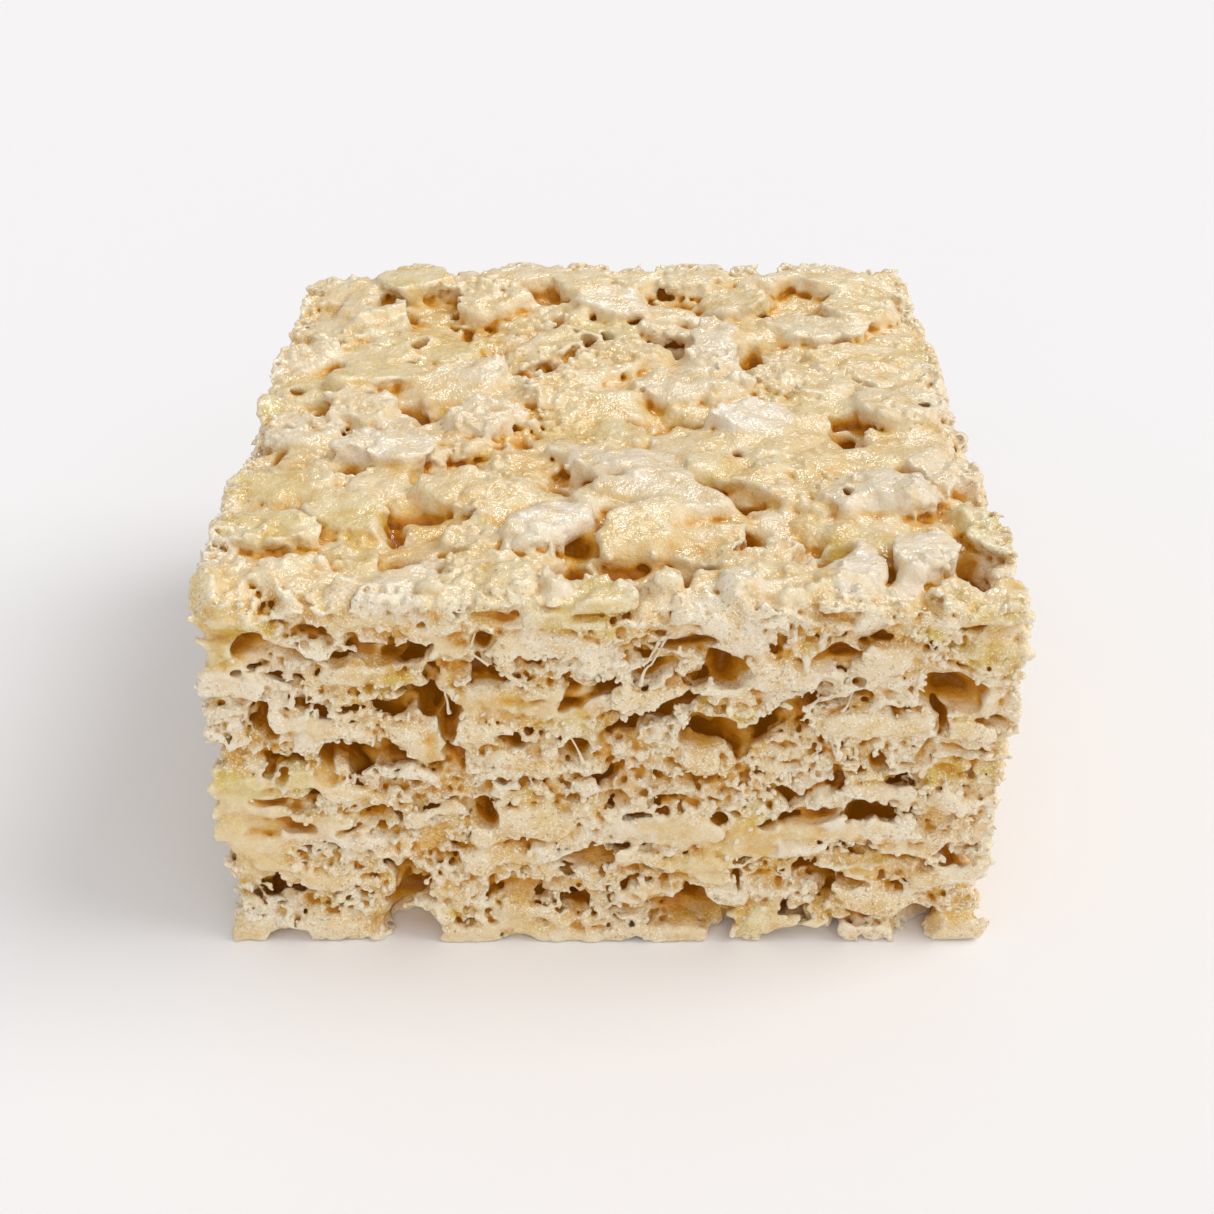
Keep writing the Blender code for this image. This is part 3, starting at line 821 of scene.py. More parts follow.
    def cut(self) -> None:
        """Cuts the four sides and the underside, raggedly along the layers."""
        x, y, z = self.grid.open_axes()
        reach = self.outline
        torn = relief(self.grid, self.torn_layers, 1)
        lumpy = 0.4 + 0.6 * self.patches()
        torn += self.lumps() * lumpy * (1 - 0.6 * smooth_step(z, reach.height - 3.0, reach.height - 1.0))
        shelf = np.maximum(relief(self.grid, self.shelf_layers) - 0.10, 0.0)
        broken = smooth_step(LatticeNoise((6.0, 6.0, 3.0), 144).over(self.grid), -0.6, 0.3)
        torn += self.shelf_depth * shelf * broken
        torn = (torn - self.torn_level) * (0.35 + 0.65 * smooth_step(z, 0.4, 2.4))
        faces = (
            -y - reach.half_depth,
            y - reach.half_depth,
            -x - reach.left(y, z),
            x - reach.right(y, z),
        )
        for face in faces:
            self.mass = smooth_max(self.mass, face + np.maximum(torn, 0.0), self.knife_round * 2)
        self.mass = smooth_max(self.mass, 0.05 - z, 0.15)
        self.mass = smooth_max(self.mass, z - reach.highest, 0.1)

    def crumble(self) -> None:
        """Opens the foam inside the cut grains, in patches near the cut sides."""
        self.crumb = (1 - smooth_step(self.side_depth(), 1.0, 3.0)) * self.patches()
        self.mass += self.crumb * np.maximum(relief(self.grid, self.foam), 0.0)

    def open_gap(self, gap: Gap, lean: np.ndarray) -> None:
        """Opens one gap."""
        middle = np.array([gap.x, gap.y, gap.z], np.float32)
        half = np.array([gap.wide, gap.deep, gap.tall], np.float32) / 2
        found = self.ellipsoid(middle, half, turned(*lean), 1.0)
        if found is not None:
            window, distance = found
            self.mass[window] = smooth_max(self.mass[window], self.ragged[window] - distance, 0.2)

    def open_gaps(self, gaps: Gaps, random: np.random.Generator) -> None:
        """Opens the measured gaps, then smaller ones scattered over the cut sides.

        Args:
            gaps: the measured gaps.
            random: the source of the random draws.
        """
        self.ragged = relief(self.grid, self.ragged_edge)
        for gap in gaps.measured():
            self.open_gap(gap.widened(self.gap_scale), random.normal(0, 6, 3))
        reach = self.outline
        for _ in range(self.top_gaps):
            x, y = random.uniform(-24.5, 24.5, 2)
            wide, deep, tall = random.uniform((0.7, 0.7, 1.6), (1.5, 1.9, 3.6))
            self.open_gap(Gap(x, y, reach.height - 0.6, wide, deep, tall), random.normal(0, 20, 3))
        for side in range(4):
            for _ in range(self.side_gaps[side]):
                run = random.uniform(-25, 25)
                z = random.uniform(1.0, reach.height - 1.5)
                wide, tall = random.uniform(0.6, 2.6), random.uniform(0.3, 1.0)
                deep = random.uniform(1.6, 4.2)
                lean = random.normal(0, 9, 3)
                if side < 2:
                    y = reach.half_depth * (2 * side - 1)
                    self.open_gap(Gap(run, y, z, wide, deep, tall), lean)
                else:
                    x = reach.half_width * (2 * side - 5)
                    self.open_gap(Gap(x, run, z, deep, wide, tall), lean)

    def settle(self) -> None:
        """Fills the hollows that nothing reaches, and drops what holds to nothing."""
        solid = self.mass < 0
        air = flooded(~solid, rim_of(self.grid.shape) & ~solid)
        sealed = ~solid & ~air
        self.mass[sealed] = -0.3
        solid = solid | sealed
        x, y, z = self.grid.open_axes()
        reach = self.outline
        inset = self.core_inset + 1.0
        core = (np.abs(x) < reach.half_width - inset) & (np.abs(y) < reach.half_depth - inset)
        core = core & (z > inset) & (z < reach.height - inset)
        held = flooded(solid, solid & core)
        self.mass[solid & ~held] = 0.3


@dataclass(frozen=True)
class Partition:
    """How the mass is shared out between the pieces.

    A piece goes a little past its border, and sinks there, so that the pieces close over each
    other without a crack.

    Attributes:
        outline: the block's outline.
        edge_height: how high on the sides the top pieces begin.
        top_depth: how deep the top pieces go.
        front_depth: how deep the front pieces go.
        wrap: how far the front pieces go round the upright edges.
        third: how far from the middle the top and the front are parted.
        overlap: how far a piece goes past its border.
        sink, sink_width: how far it sinks there, and how soon.
        waves: the noise that bends the borders.
    """

    outline: Outline
    edge_height: float = 25.0
    top_depth: float = 6.6
    front_depth: float = 6.2
    wrap: float = 1.2
    third: float = 8.6
    overlap: float = 0.45
    sink: float = 0.06
    sink_width: float = 0.25
    waves: Layers = ((1.0, 4.0, 160),)

    def borders(self, grid: Grid, zones: tuple[Zone, ...]) -> dict[Zone, np.ndarray]:
        """How far each sample is outside each piece.

        Args:
            grid: the sample points.
            zones: the pieces wanted.

        Returns:
            The distances, which are negative inside the piece.
        """
        x, y, z = grid.open_axes()
        reach = self.outline
        wave = relief(grid, self.waves)
        front = y + reach.half_depth
        back = reach.half_depth - y
        left = x + reach.half_width
        right = reach.half_width - x
        side = np.minimum(np.minimum(front, back), np.minimum(left, right))
        brim = np.maximum(self.edge_height - side, reach.height - self.top_depth)
        top = brim - z + 0.7 * wave
        cut = np.maximum(front - self.front_depth, front - self.wrap - np.minimum(left, right))
        cut = np.maximum(cut + 0.3 * wave, -top)
        across = x + 1.2 * wave
        rest = np.maximum(-top, -cut)
        faces = {Zone.LEFT: left, Zone.RIGHT: right, Zone.BACK: back, Zone.PAN: z}
        found = {}
        for zone in zones:
            if zone in faces:
                others = [np.broadcast_to(faces[other], grid.shape) for other in faces if other is not zone]
                apart = 0.5 * (faces[zone] - np.minimum.reduce(others))
                found[zone] = np.maximum(rest, apart + 0.3 * wave)
                continue
            whole = top if zone in TOP_ZONES else cut
            if zone in (Zone.TOP_LEFT, Zone.FRONT_LEFT):
                part = across + self.third
            elif zone in (Zone.TOP_RIGHT, Zone.FRONT_RIGHT):
                part = self.third - across
            else:
                part = np.abs(across) - self.third
            found[zone] = np.maximum(whole, part)
        return found

    def piece_field(self, mass: np.ndarray, border: np.ndarray) -> np.ndarray:
        """The field of one piece."""
        sunk = mass + self.sink * np.clip(border / self.sink_width, 0.0, 1.0)
        return np.maximum(sunk, border - self.overlap)


def rim_of(shape: tuple[int, ...]) -> np.ndarray:
    """A mask of the outermost samples of a box."""
    rim = np.zeros(shape, bool)
    for axis in range(3):
        for end in (0, -1):
            index = [slice(None)] * 3
            index[axis] = end
            rim[tuple(index)] = True
    return rim


def flooded(room: np.ndarray, start: np.ndarray) -> np.ndarray:
    """Spreads through a mask from where it starts.

    Args:
        room: the samples that it may spread to.
        start: the samples that it starts from.

    Returns:
        The samples reached.
    """
    reached = start & room
    count = int(reached.sum())
    while True:
        for axis in range(3):
            ahead = [slice(None)] * 3
            behind = [slice(None)] * 3
            ahead[axis], behind[axis] = slice(1, None), slice(None, -1)
            for to, come in ((ahead, behind), (behind, ahead)):
                reached[tuple(to)] |= reached[tuple(come)]
                reached &= room
        grown = int(reached.sum())
        if grown == count:
            return reached
        count = grown


def blurred(values: np.ndarray, radius: int) -> np.ndarray:
    """A field averaged over a cube about each sample."""
    for axis in range(3):
        width = [(0, 0)] * 3
        width[axis] = (radius + 1, radius)
        summed = np.cumsum(np.pad(values, width, mode="edge"), axis=axis, dtype=np.float32)
        count = values.shape[axis]
        upper = np.take(summed, np.arange(2 * radius + 1, 2 * radius + 1 + count), axis=axis)
        lower = np.take(summed, np.arange(count), axis=axis)
        values = (upper - lower) / (2 * radius + 1)
    return values


@dataclass
class TreatMesher:
    """Turns the fields into finished mesh pieces.

    Attributes:
        mass: the fields.
        adaptivity: how readily flat stretches merge into fewer faces.
        openness_radius: how far round a point the hollows are looked for, to set the painted shade.
        pit_radius: the same for the pits between crumbs.
        top_share: how much the depth below the top counts, beside the depth behind a cut.
        full_depth: the depth that is stored as 1.
    """

    mass: PressedMass
    adaptivity: float = 0.3
    openness_radius: float = 1.5
    pit_radius: float = 0.4
    top_share: float = 0.5
    full_depth: float = 4.0
    occupied: np.ndarray = field(init=False)
    pitted: np.ndarray = field(init=False)

    def __post_init__(self) -> None:
        """Works out how closed in each place is."""
        step = self.mass.grid.step
        radius = round(self.openness_radius / step)
        solid = np.clip(0.5 - self.mass.mass / step, 0.0, 1.0)
        self.occupied = blurred(blurred(solid, radius), radius // 2)
        self.pitted = blurred(blurred(solid, max(round(self.pit_radius / step), 1)), 1)

    def build(
        self, zone: Zone, values: np.ndarray, material: bpy.types.Material
    ) -> bpy.types.Object:
        """Meshes one piece.

        Args:
            zone: the piece.
            values: its field.
            material: its finish.

        Returns:
            The finished object.
        """
        grid = self.mass.grid
        volume = openvdb.FloatGrid()
        volume.background = 3 * grid.step
        volume.copyFromArray(np.clip(values, -3 * grid.step, 3 * grid.step))
        points, triangles, quads = volume.convertToPolygons(isovalue=0.0, adaptivity=self.adaptivity)
        points, triangles, quads = largest_part(points, triangles, quads)
        points = points * grid.step + np.array(grid.low)
        mesh = mesh_of(zone.value, points, triangles, quads)
        self.paint(mesh, points)
        mesh.materials.append(material)
        piece = bpy.data.objects.new(zone.value, mesh)
        bpy.context.scene.collection.objects.link(piece)
        return piece

    def paint(self, mesh: bpy.types.Mesh, points: np.ndarray) -> None:
        """Stores what the finish needs to know at each point.

        Args:
            mesh: the mesh.
            points: its points, in millimetres.
        """
        grid, reach = self.mass.grid, self.mass.outline
        x, y, z = points.T
        depth = np.minimum(reach.half_width - np.abs(x), reach.half_depth - np.abs(y))
        depth = np.minimum(depth, np.minimum(self.top_share * (reach.height - z), z))
        # closed_in, pitted and depth tell the finish where to paint shade, a white sheen and lighter rims.
        stored = {
            "closed_in": grid.sample(self.occupied, points),
            "pitted": grid.sample(self.pitted, points),
            "depth": np.clip(depth / self.full_depth, 0.0, 1.0),
            "grain_tint": grid.sample(self.mass.tint, points),
            "crumb": grid.sample(self.mass.crumb, points),
        }
        for name, values in stored.items():
            layer = mesh.attributes.new(name, "FLOAT", "POINT")
            layer.data.foreach_set("value", values.astype(np.float32))


def largest_part(
    points: np.ndarray, triangles: np.ndarray, quads: np.ndarray
) -> tuple[np.ndarray, np.ndarray, np.ndarray]:
    """Drops the scraps that a border cut off.

    Args:
        points: the points, one a row.
        triangles: faces of three points.
        quads: faces of four points.

    Returns:
        The points and faces of the largest connected part.
    """
    links = np.concatenate([triangles[:, [0, 1]], triangles[:, [1, 2]], quads[:, [0, 1]]])
    links = np.concatenate([links, quads[:, [1, 2]], quads[:, [2, 3]]])
    label = np.arange(len(points))
    while True:
        low = np.minimum(label[links[:, 0]], label[links[:, 1]])
        fresh = label.copy()
        np.minimum.at(fresh, links[:, 0], low)
        np.minimum.at(fresh, links[:, 1], low)
        fresh = fresh[fresh]
        if np.array_equal(fresh, label):
            break
        label = fresh
    kept = label == np.bincount(label).argmax()
    index = np.cumsum(kept) - 1
    triangles = index[triangles[kept[triangles[:, 0]]]]
    quads = index[quads[kept[quads[:, 0]]]]
    return points[kept], triangles, quads


def mesh_of(
    name: str, points: np.ndarray, triangles: np.ndarray, quads: np.ndarray
) -> bpy.types.Mesh:
    """A mesh in metres from points in millimetres.

    Args:
        name: the mesh's name.
        points: the points, one a row.
        triangles: faces of three points.
        quads: faces of four points.

    Returns:
        The mesh, shaded smooth.
    """
    mesh = bpy.data.meshes.new(name)
    corners = np.concatenate([triangles.ravel(), quads.ravel()]).astype(np.int32)
    sizes = np.concatenate([np.full(len(triangles), 3), np.full(len(quads), 4)])
    starts = np.concatenate([[0], np.cumsum(sizes)[:-1]]).astype(np.int32)
    mesh.vertices.add(len(points))
    mesh.vertices.foreach_set("co", (points * MM).astype(np.float32).ravel())
    mesh.loops.add(len(corners))
    mesh.loops.foreach_set("vertex_index", corners)
    mesh.polygons.add(len(sizes))
    mesh.polygons.foreach_set("loop_start", starts)
    mesh.update(calc_edges=True)
    mesh.shade_smooth()
    mesh.validate()
    return mesh


def linear(hex_code: str) -> tuple[float, float, float, float]:
    """A colour for the renderer, from its sRGB hex code."""
    levels = [int(hex_code[i : i + 2], 16) / 255 for i in (1, 3, 5)]
    return (*[v / 12.92 if v <= 0.04045 else ((v + 0.055) / 1.055) ** 2.4 for v in levels], 1.0)


def add_node(
    tree: bpy.types.NodeTree, kind: str, settings: dict | None = None, links: dict | None = None
) -> bpy.types.Node:
    """Adds a node.

    Args:
        tree: the tree.
        kind: the node's type.
        settings: values for its properties, or for its inputs by name or number, a colour as a hex code.
        links: what feeds its inputs, by name or number.

    Returns:
        The node.
    """
    node = tree.nodes.new(kind)
    for name, value in (settings or {}).items():
        if isinstance(name, str) and hasattr(node, name):
            setattr(node, name, value)
        else:
            is_colour = isinstance(value, str) and value.startswith("#")
            node.inputs[name].default_value = linear(value) if is_colour else value
    for name, source in (links or {}).items():
        tree.links.new(source, node.inputs[name])
    return node


def wire(tree: bpy.types.NodeTree, rows: tuple[tuple, ...], made: dict[str, bpy.types.NodeSocket]) -> None:
    """Adds nodes in order, each fed by what was made before it.

    Args:
        tree: the tree.
        rows: each node's name, type, settings and sources, and the output that it is known by,
            where that isn't its first.
        made: the outputs made so far, by name, which grows by one for each row.
    """
    for name, kind, settings, sources, *output in rows:
        links = {socket: made[source] for socket, source in sources.items()}
        made[name] = add_node(tree, kind, settings, links).outputs[output[0] if output else 0]


SPAN, MATH, VECTOR = "ShaderNodeMapRange", "ShaderNodeMath", "ShaderNodeVectorMath"
MIX, RAMP, NOISE, BUMP = "ShaderNodeMix", "ShaderNodeValToRGB", "ShaderNodeTexNoise", "ShaderNodeBump"
TIMES = {"operation": "MULTIPLY"}
PLUS = {"operation": "ADD", "use_clamp": True}
STRETCH = {"operation": "SCALE"}
COVER = {"data_type": "RGBA", "blend_type": "MIX"}
STAIN = {"data_type": "RGBA", "blend_type": "MULTIPLY"}


@dataclass(frozen=True)
class CrispRice:
    """Puffed rice glazed with set marshmallow: a pale, brittle foam under a clear sugary skin.

    The skin gives small wet highlights, and small painted highlights are laid into its colour.
    The gaps are painted amber and then brown, as painted shade and as painted light that has
    gone through the mass, and the deepest of them carry a painted amber glow.

    Attributes:
        stops: the colours from the open grains to the deepest hollows: painted shade, and the
        painted amber of light that has gone through the mass.
        tints: the shades that single grains take, from milky to yellow.
        stored: the values that the mesh stores at each point.
        noises: each noise's name, its size in millimetres and its detail.
        spans: each span's name and source, where it starts and ends, and its values there.
        shade_spans: the same for those that read how shaded a place is.
        products: pairs of values that are multiplied, each under a name.
        covers: each coat's name, the coat under it, where it lies and its colour; the coats over
        the highest places, the rims and the glints are painted sheen and painted highlights.
    """

    name: str = "puffed rice glazed with marshmallow"
    # Painted shade: the colour goes from pale to amber and brown as a place is more closed in, deeper and
    # more pitted.
    stops: tuple[tuple[float, str], ...] = (
        (0.00, "#E6CF99"),
        (0.16, "#E6C572"),
        (0.36, "#DCAA40"),
        (0.64, "#BE8218"),
        (1.00, "#804C08"),
    )
    tints: tuple[tuple[float, str], ...] = (
        (0.00, "#FFFFFF"),
        (0.20, "#FBF1EA"),
        (0.45, "#FAEBD2"),
        (0.70, "#F8E8BC"),
        (1.00, "#F0E890"),
    )
    # Painted glow: an amber emission in the deepest hollows, in place of light that has gone through the
    # mass.
    glow: str = "#B06A0A"
    glow_strength: float = 0.16
    golden: str = "#F2DA9C"
    ior: float = 1.47
    specular: float = 0.28
    stored: tuple[str, ...] = ("closed_in", "depth", "pitted", "grain_tint", "crumb")
    noises: tuple[tuple[str, float, float], ...] = (
        ("mottle", 1.4, 3.0),
        ("grit", 0.30, 2.0),
        # A fine noise that places the painted glints and the skin's finest bumps.
        ("dust", 0.14, 1.0),
        ("blotches", 1.3, 4.0),
        ("clouds", 2.2, 4.0),
    )
    spans: tuple[tuple, ...] = (
        # The next three rows set how much painted shade a place gets.
        ("hollow", "closed_in", 0.54, 0.80, 0.0, 0.80),
        ("deep", "depth", 0.10, 0.60, 0.0, 0.48),
        ("pits", "pitted", 0.54, 0.85, 0.0, 0.42),
        # The highest places get a painted white sheen.
        ("proud", "depth", 0.13, 0.0, 0.0, 0.40),
        ("milky", "grain_tint", 0.34, 0.02, 0.0, 0.62),
        ("blotched", "blotches", 0.42, 0.66, 0.0, 0.75),
        # Convex edges get painted highlights.
        ("rims", "pitted", 0.47, 0.30, 0.0, 0.60),
        ("crumbly", "crumb", 0.0, 1.0, 0.45, 0.80),
        ("cloudy", "clouds", 0.42, 0.62, 0.0, 1.0),
        # The next two rows place dark brown specks over the crumb.
        ("toasted", "crumb", 0.0, 0.6, 0.10, 0.60),
        ("gritty", "grit", 0.57, 0.70, 0.0, 1.0),
        # The next two rows place small painted glints on the crumb.
        ("sugary", "crumb", 0.0, 0.6, 0.20, 0.75),
        ("dusty", "dust", 0.56, 0.68, 0.0, 1.0),
        ("roughness", "mottle", 0.3, 0.7, 0.12, 0.36),
    )
    shade_spans: tuple[tuple, ...] = (
        ("open", "shade", 0.1, 0.4, 1.0, 0.0),
        ("glowing", "shade", 0.45, 1.0, 0.0, 1.0),
    )
    products: tuple[tuple[str, str, str], ...] = (
        ("open_proud", "proud", "open"),
        ("open_milky", "milky", "open"),
        ("open_rims", "rims", "open"),
        ("white", "crumbly", "cloudy"),
        ("open_white", "white", "open"),
        ("specks", "toasted", "gritty"),
        ("glints", "sugary", "dusty"),
        ("open_glints", "glints", "open"),
    )
    covers: tuple[tuple[str, str, str, str], ...] = (
        # A painted white sheen over the highest places.
        ("rubbed", "grain", "open_proud", "#F2E5C8"),
        ("milked", "rubbed", "open_milky", "#EDE2DA"),
        # Painted highlights along convex edges.
        ("rimmed", "stained", "open_rims", "#F2E5C8"),
        ("whitened", "rimmed", "open_white", "#F2E5C8"),
        ("specked", "whitened", "specks", "#A87A2C"),
        # Painted glints: small near-white highlights.
        ("colour", "specked", "open_glints", "#FFFCF2"),
    )

    def rows(self) -> tuple[tuple, ...]:
        """The finish's nodes in order."""
        coats = [
            (name, MIX, {**COVER, 7: colour}, {0: where, 6: under}, 2)
            for name, under, where, colour in self.covers
        ]
        stained = ("stained", MIX, {**STAIN, 7: self.golden}, {0: "blotched", 6: "milked"}, 2)
        spans, shade_spans = (
            [
                (name, SPAN, {1: start, 2: end, 3: low, 4: high}, {0: source})
                for name, source, start, end, low, high in table
            ]
            for table in (self.spans, self.shade_spans)
        )
        rough = {"Roughness": 0.55}
        grains = {"Strength": 0.7, "Distance": 0.12 * MM}
        return (
            ("place", "ShaderNodeTexCoord", {}, {}, "Object"),
            *((name, "ShaderNodeAttribute", {"attribute_name": name}, {}, "Fac") for name in self.stored),
            *(
                (name, NOISE, {"Scale": 1 / (size * MM), "Detail": detail, **rough}, {"Vector": "place"})
                for name, size, detail in self.noises
            ),
            *spans,
            # How strongly the hollows' shade is painted into the colour.
            ("walled", MATH, PLUS, {0: "hollow", 1: "deep"}),
            ("shade", MATH, PLUS, {0: "walled", 1: "pits"}),
            *shade_spans,
            *((name, MATH, TIMES, {0: first, 1: second}) for name, first, second in self.products),
            ("by_shade", RAMP, {}, {0: "shade"}),
            ("by_grain", RAMP, {}, {0: "grain_tint"}),
            ("grain", MIX, {**STAIN, 0: 0.9}, {6: "by_shade", 7: "by_grain"}, 2),
            *coats[:2],
            stained,
            *coats[2:],
            # The painted amber glow of the deepest hollows.
            ("glow", MIX, {**COVER, 6: "#000000", 7: self.glow}, {0: "glowing"}, 2),
            ("lumps", BUMP, {"Strength": 0.7, "Distance": 0.30 * MM}, {"Height": "mottle"}),
            ("grains", BUMP, grains, {"Height": "grit", "Normal": "lumps"}),
            ("skin", BUMP, {"Strength": 0.5, "Distance": 0.04 * MM}, {"Height": "dust", "Normal": "grains"}),
        )

    def make(self) -> bpy.types.Material:
        """Builds the material."""
        material = bpy.data.materials.new(self.name)
        material.use_nodes = True
        tree = material.node_tree
        made = {}
        wire(tree, self.rows(), made)
        for name, stops in (("by_shade", self.stops), ("by_grain", self.tints)):
            elements = made[name].node.color_ramp.elements
            elements[0].color, elements[1].color = linear(stops[0][1]), linear(stops[-1][1])
            for position, colour in stops[1:-1]:
                elements.new(position).color = linear(colour)
        shader = tree.nodes["Principled BSDF"].inputs
        ends = {"Base Color": "colour", "Roughness": "roughness", "Normal": "skin", "Emission Color": "glow"}
        for socket, name in ends.items():
            tree.links.new(made[name], shader[socket])
        shader["Emission Strength"].default_value = self.glow_strength
        shader["IOR"].default_value = self.ior
        shader["Specular IOR Level"].default_value = self.specular
        return material


def node_group(name: str, inputs: dict[str, str]) -> tuple[bpy.types.NodeTree, dict]:
    """A Geometry Nodes tree with named inputs and nothing else.

    Args:
        name: its name.
        inputs: the kind of each input beside the geometry, by name.

    Returns:
        The tree, and its inputs by name.
    """
    tree = bpy.data.node_groups.new(name, "GeometryNodeTree")
    for way in ("INPUT", "OUTPUT"):
        tree.interface.new_socket("Geometry", in_out=way, socket_type="NodeSocketGeometry")
    for label, kind in inputs.items():
        tree.interface.new_socket(label, in_out="INPUT", socket_type=f"NodeSocket{kind}")
    given = add_node(tree, "NodeGroupInput").outputs
    return tree, {label: given[label] for label in ("Geometry", *inputs)}


def finish_tree(tree: bpy.types.NodeTree, geometry, material: bpy.types.Material) -> None:
    """Ends a tree with plain geometry in its finish."""
    plain = add_node(tree, "GeometryNodeRealizeInstances", {}, {"Geometry": geometry}).outputs[0]
    shaded = add_node(tree, "GeometryNodeSetShadeSmooth", {}, {"Geometry": plain}).outputs[0]
    finished = add_node(tree, "GeometryNodeSetMaterial", {"Material": material}, {"Geometry": shaded})
    add_node(tree, "NodeGroupOutput", {}, {"Geometry": finished.outputs[0]})


def grown(name: str, mesh: bpy.types.Mesh, tree: bpy.types.NodeTree, values: dict) -> bpy.types.Object:
    """Runs a tree on a mesh and keeps the result as a plain mesh.

    Args:
        name: the piece's name.
        mesh: what the tree starts from.
        tree: the tree.
        values: the tree's inputs, by name.

    Returns:
        The finished object.
    """
    piece = bpy.data.objects.new(name, mesh)
    bpy.context.scene.collection.objects.link(piece)
    modifier = piece.modifiers.new(tree.name, "NODES")
    modifier.node_group = tree
    sockets = {item.name: item.identifier for item in tree.interface.items_tree if item.in_out == "INPUT"}
    for label, value in values.items():
        modifier[sockets[label]] = value
    graph = bpy.context.evaluated_depsgraph_get()
    result = bpy.data.meshes.new_from_object(piece.evaluated_get(graph))
    piece.modifiers.remove(modifier)
    piece.data = result
    result.name = name
    return piece


@dataclass
class LooseCrumbs:
    """The crumbs that cling to the cut sides.

    Attributes:
        count: how many there are.
        size: a crumb's usual size.
        unevenness: how lumpy a crumb is.
        lump_waves: how many of a crumb's lumps there are in a metre.
        least, most: a crumb's length, width and thickness beside the usual size.
        clearance: how far inside the block's box a crumb's middle stays.
        skin: how deep behind a cut side crumbs still cling.
        bare_rim: how far below the top they begin.
        seed: the seed of their places and shapes.
    """

    outline: Outline
    count: int = 1100
    size: float = 0.52
    unevenness: float = 0.5
    lump_waves: float = 3000.0
    least: tuple[float, float, float] = (0.5, 0.4, 0.35)
    most: tuple[float, float, float] = (1.5, 1.1, 0.9)
    clearance: float = 0.42
    skin: float = 0.9
    bare_rim: float = 1.5
    seed: int = 31

    def tree(self, material: bpy.types.Material) -> bpy.types.NodeTree:
        """The tree that puts a crumb on every point."""
        tree, made = node_group("crumbs on points", {"Size": "Float", "Unevenness": "Float", "Seed": "Int"})
        drawn, by_seed = {"data_type": "FLOAT_VECTOR"}, {"Seed": "Seed"}
        placing = {"Points": "Geometry", "Instance": "ball", "Rotation": "spin", "Scale": "scale"}
        rows = (
            ("ball", "GeometryNodeMeshIcoSphere", {"Radius": 0.5, "Subdivisions": 2}, {}),
            ("spin", "FunctionNodeRandomValue", {**drawn, "Max": (math.tau,) * 3}, by_seed),
            ("shape", "FunctionNodeRandomValue", {**drawn, "Min": self.least, "Max": self.most}, by_seed),
            ("scale", VECTOR, STRETCH, {0: "shape", "Scale": "Size"}),
            ("placed", "GeometryNodeInstanceOnPoints", {}, placing),
            ("plain", "GeometryNodeRealizeInstances", {}, {"Geometry": "placed"}),
            ("lumps", NOISE, {"Scale": self.lump_waves, "Detail": 1.0}, {}),
            ("level", MATH, {"operation": "SUBTRACT", 1: 0.55}, {0: "lumps"}),
            ("uneven", MATH, TIMES, {0: "level", 1: "Unevenness"}),
            ("height", MATH, TIMES, {0: "uneven", 1: "Size"}),
            ("normal", "GeometryNodeInputNormal", {}, {}),
            ("out", VECTOR, STRETCH, {0: "normal", "Scale": "height"}),
            ("moved", "GeometryNodeSetPosition", {}, {"Geometry": "plain", "Offset": "out"}),
        )
        wire(tree, rows, made)
        finish_tree(tree, made["moved"], material)
        return tree

    def build(self, cut: np.ndarray, material: bpy.types.Material) -> bpy.types.Object:
        """Scatters the crumbs.

        Args:
            cut: points of the cut sides, in millimetres.
            material: their finish.

        Returns:
            The finished object.
        """
        x, y, z = cut.T
        reach = self.outline
        shallow = np.maximum(np.abs(x) - reach.half_width, np.abs(y) - reach.half_depth) > -self.skin
        inside = (np.abs(x) < reach.widest - self.clearance) & (z > 2 * self.clearance)
        inside &= (np.abs(y) < reach.half_depth - self.clearance) & (z < reach.height - self.bare_rim)
        places = cut[shallow & inside]
        chosen = places[np.random.default_rng(self.seed).choice(len(places), self.count, replace=False)]
        carrier = bpy.data.meshes.new("crumb places")
        carrier.from_pydata([tuple(place) for place in chosen * MM], [], [])
        values = {"Size": self.size * MM, "Unevenness": self.unevenness, "Seed": self.seed}
        return grown("loose_crumbs", carrier, self.tree(material), values)


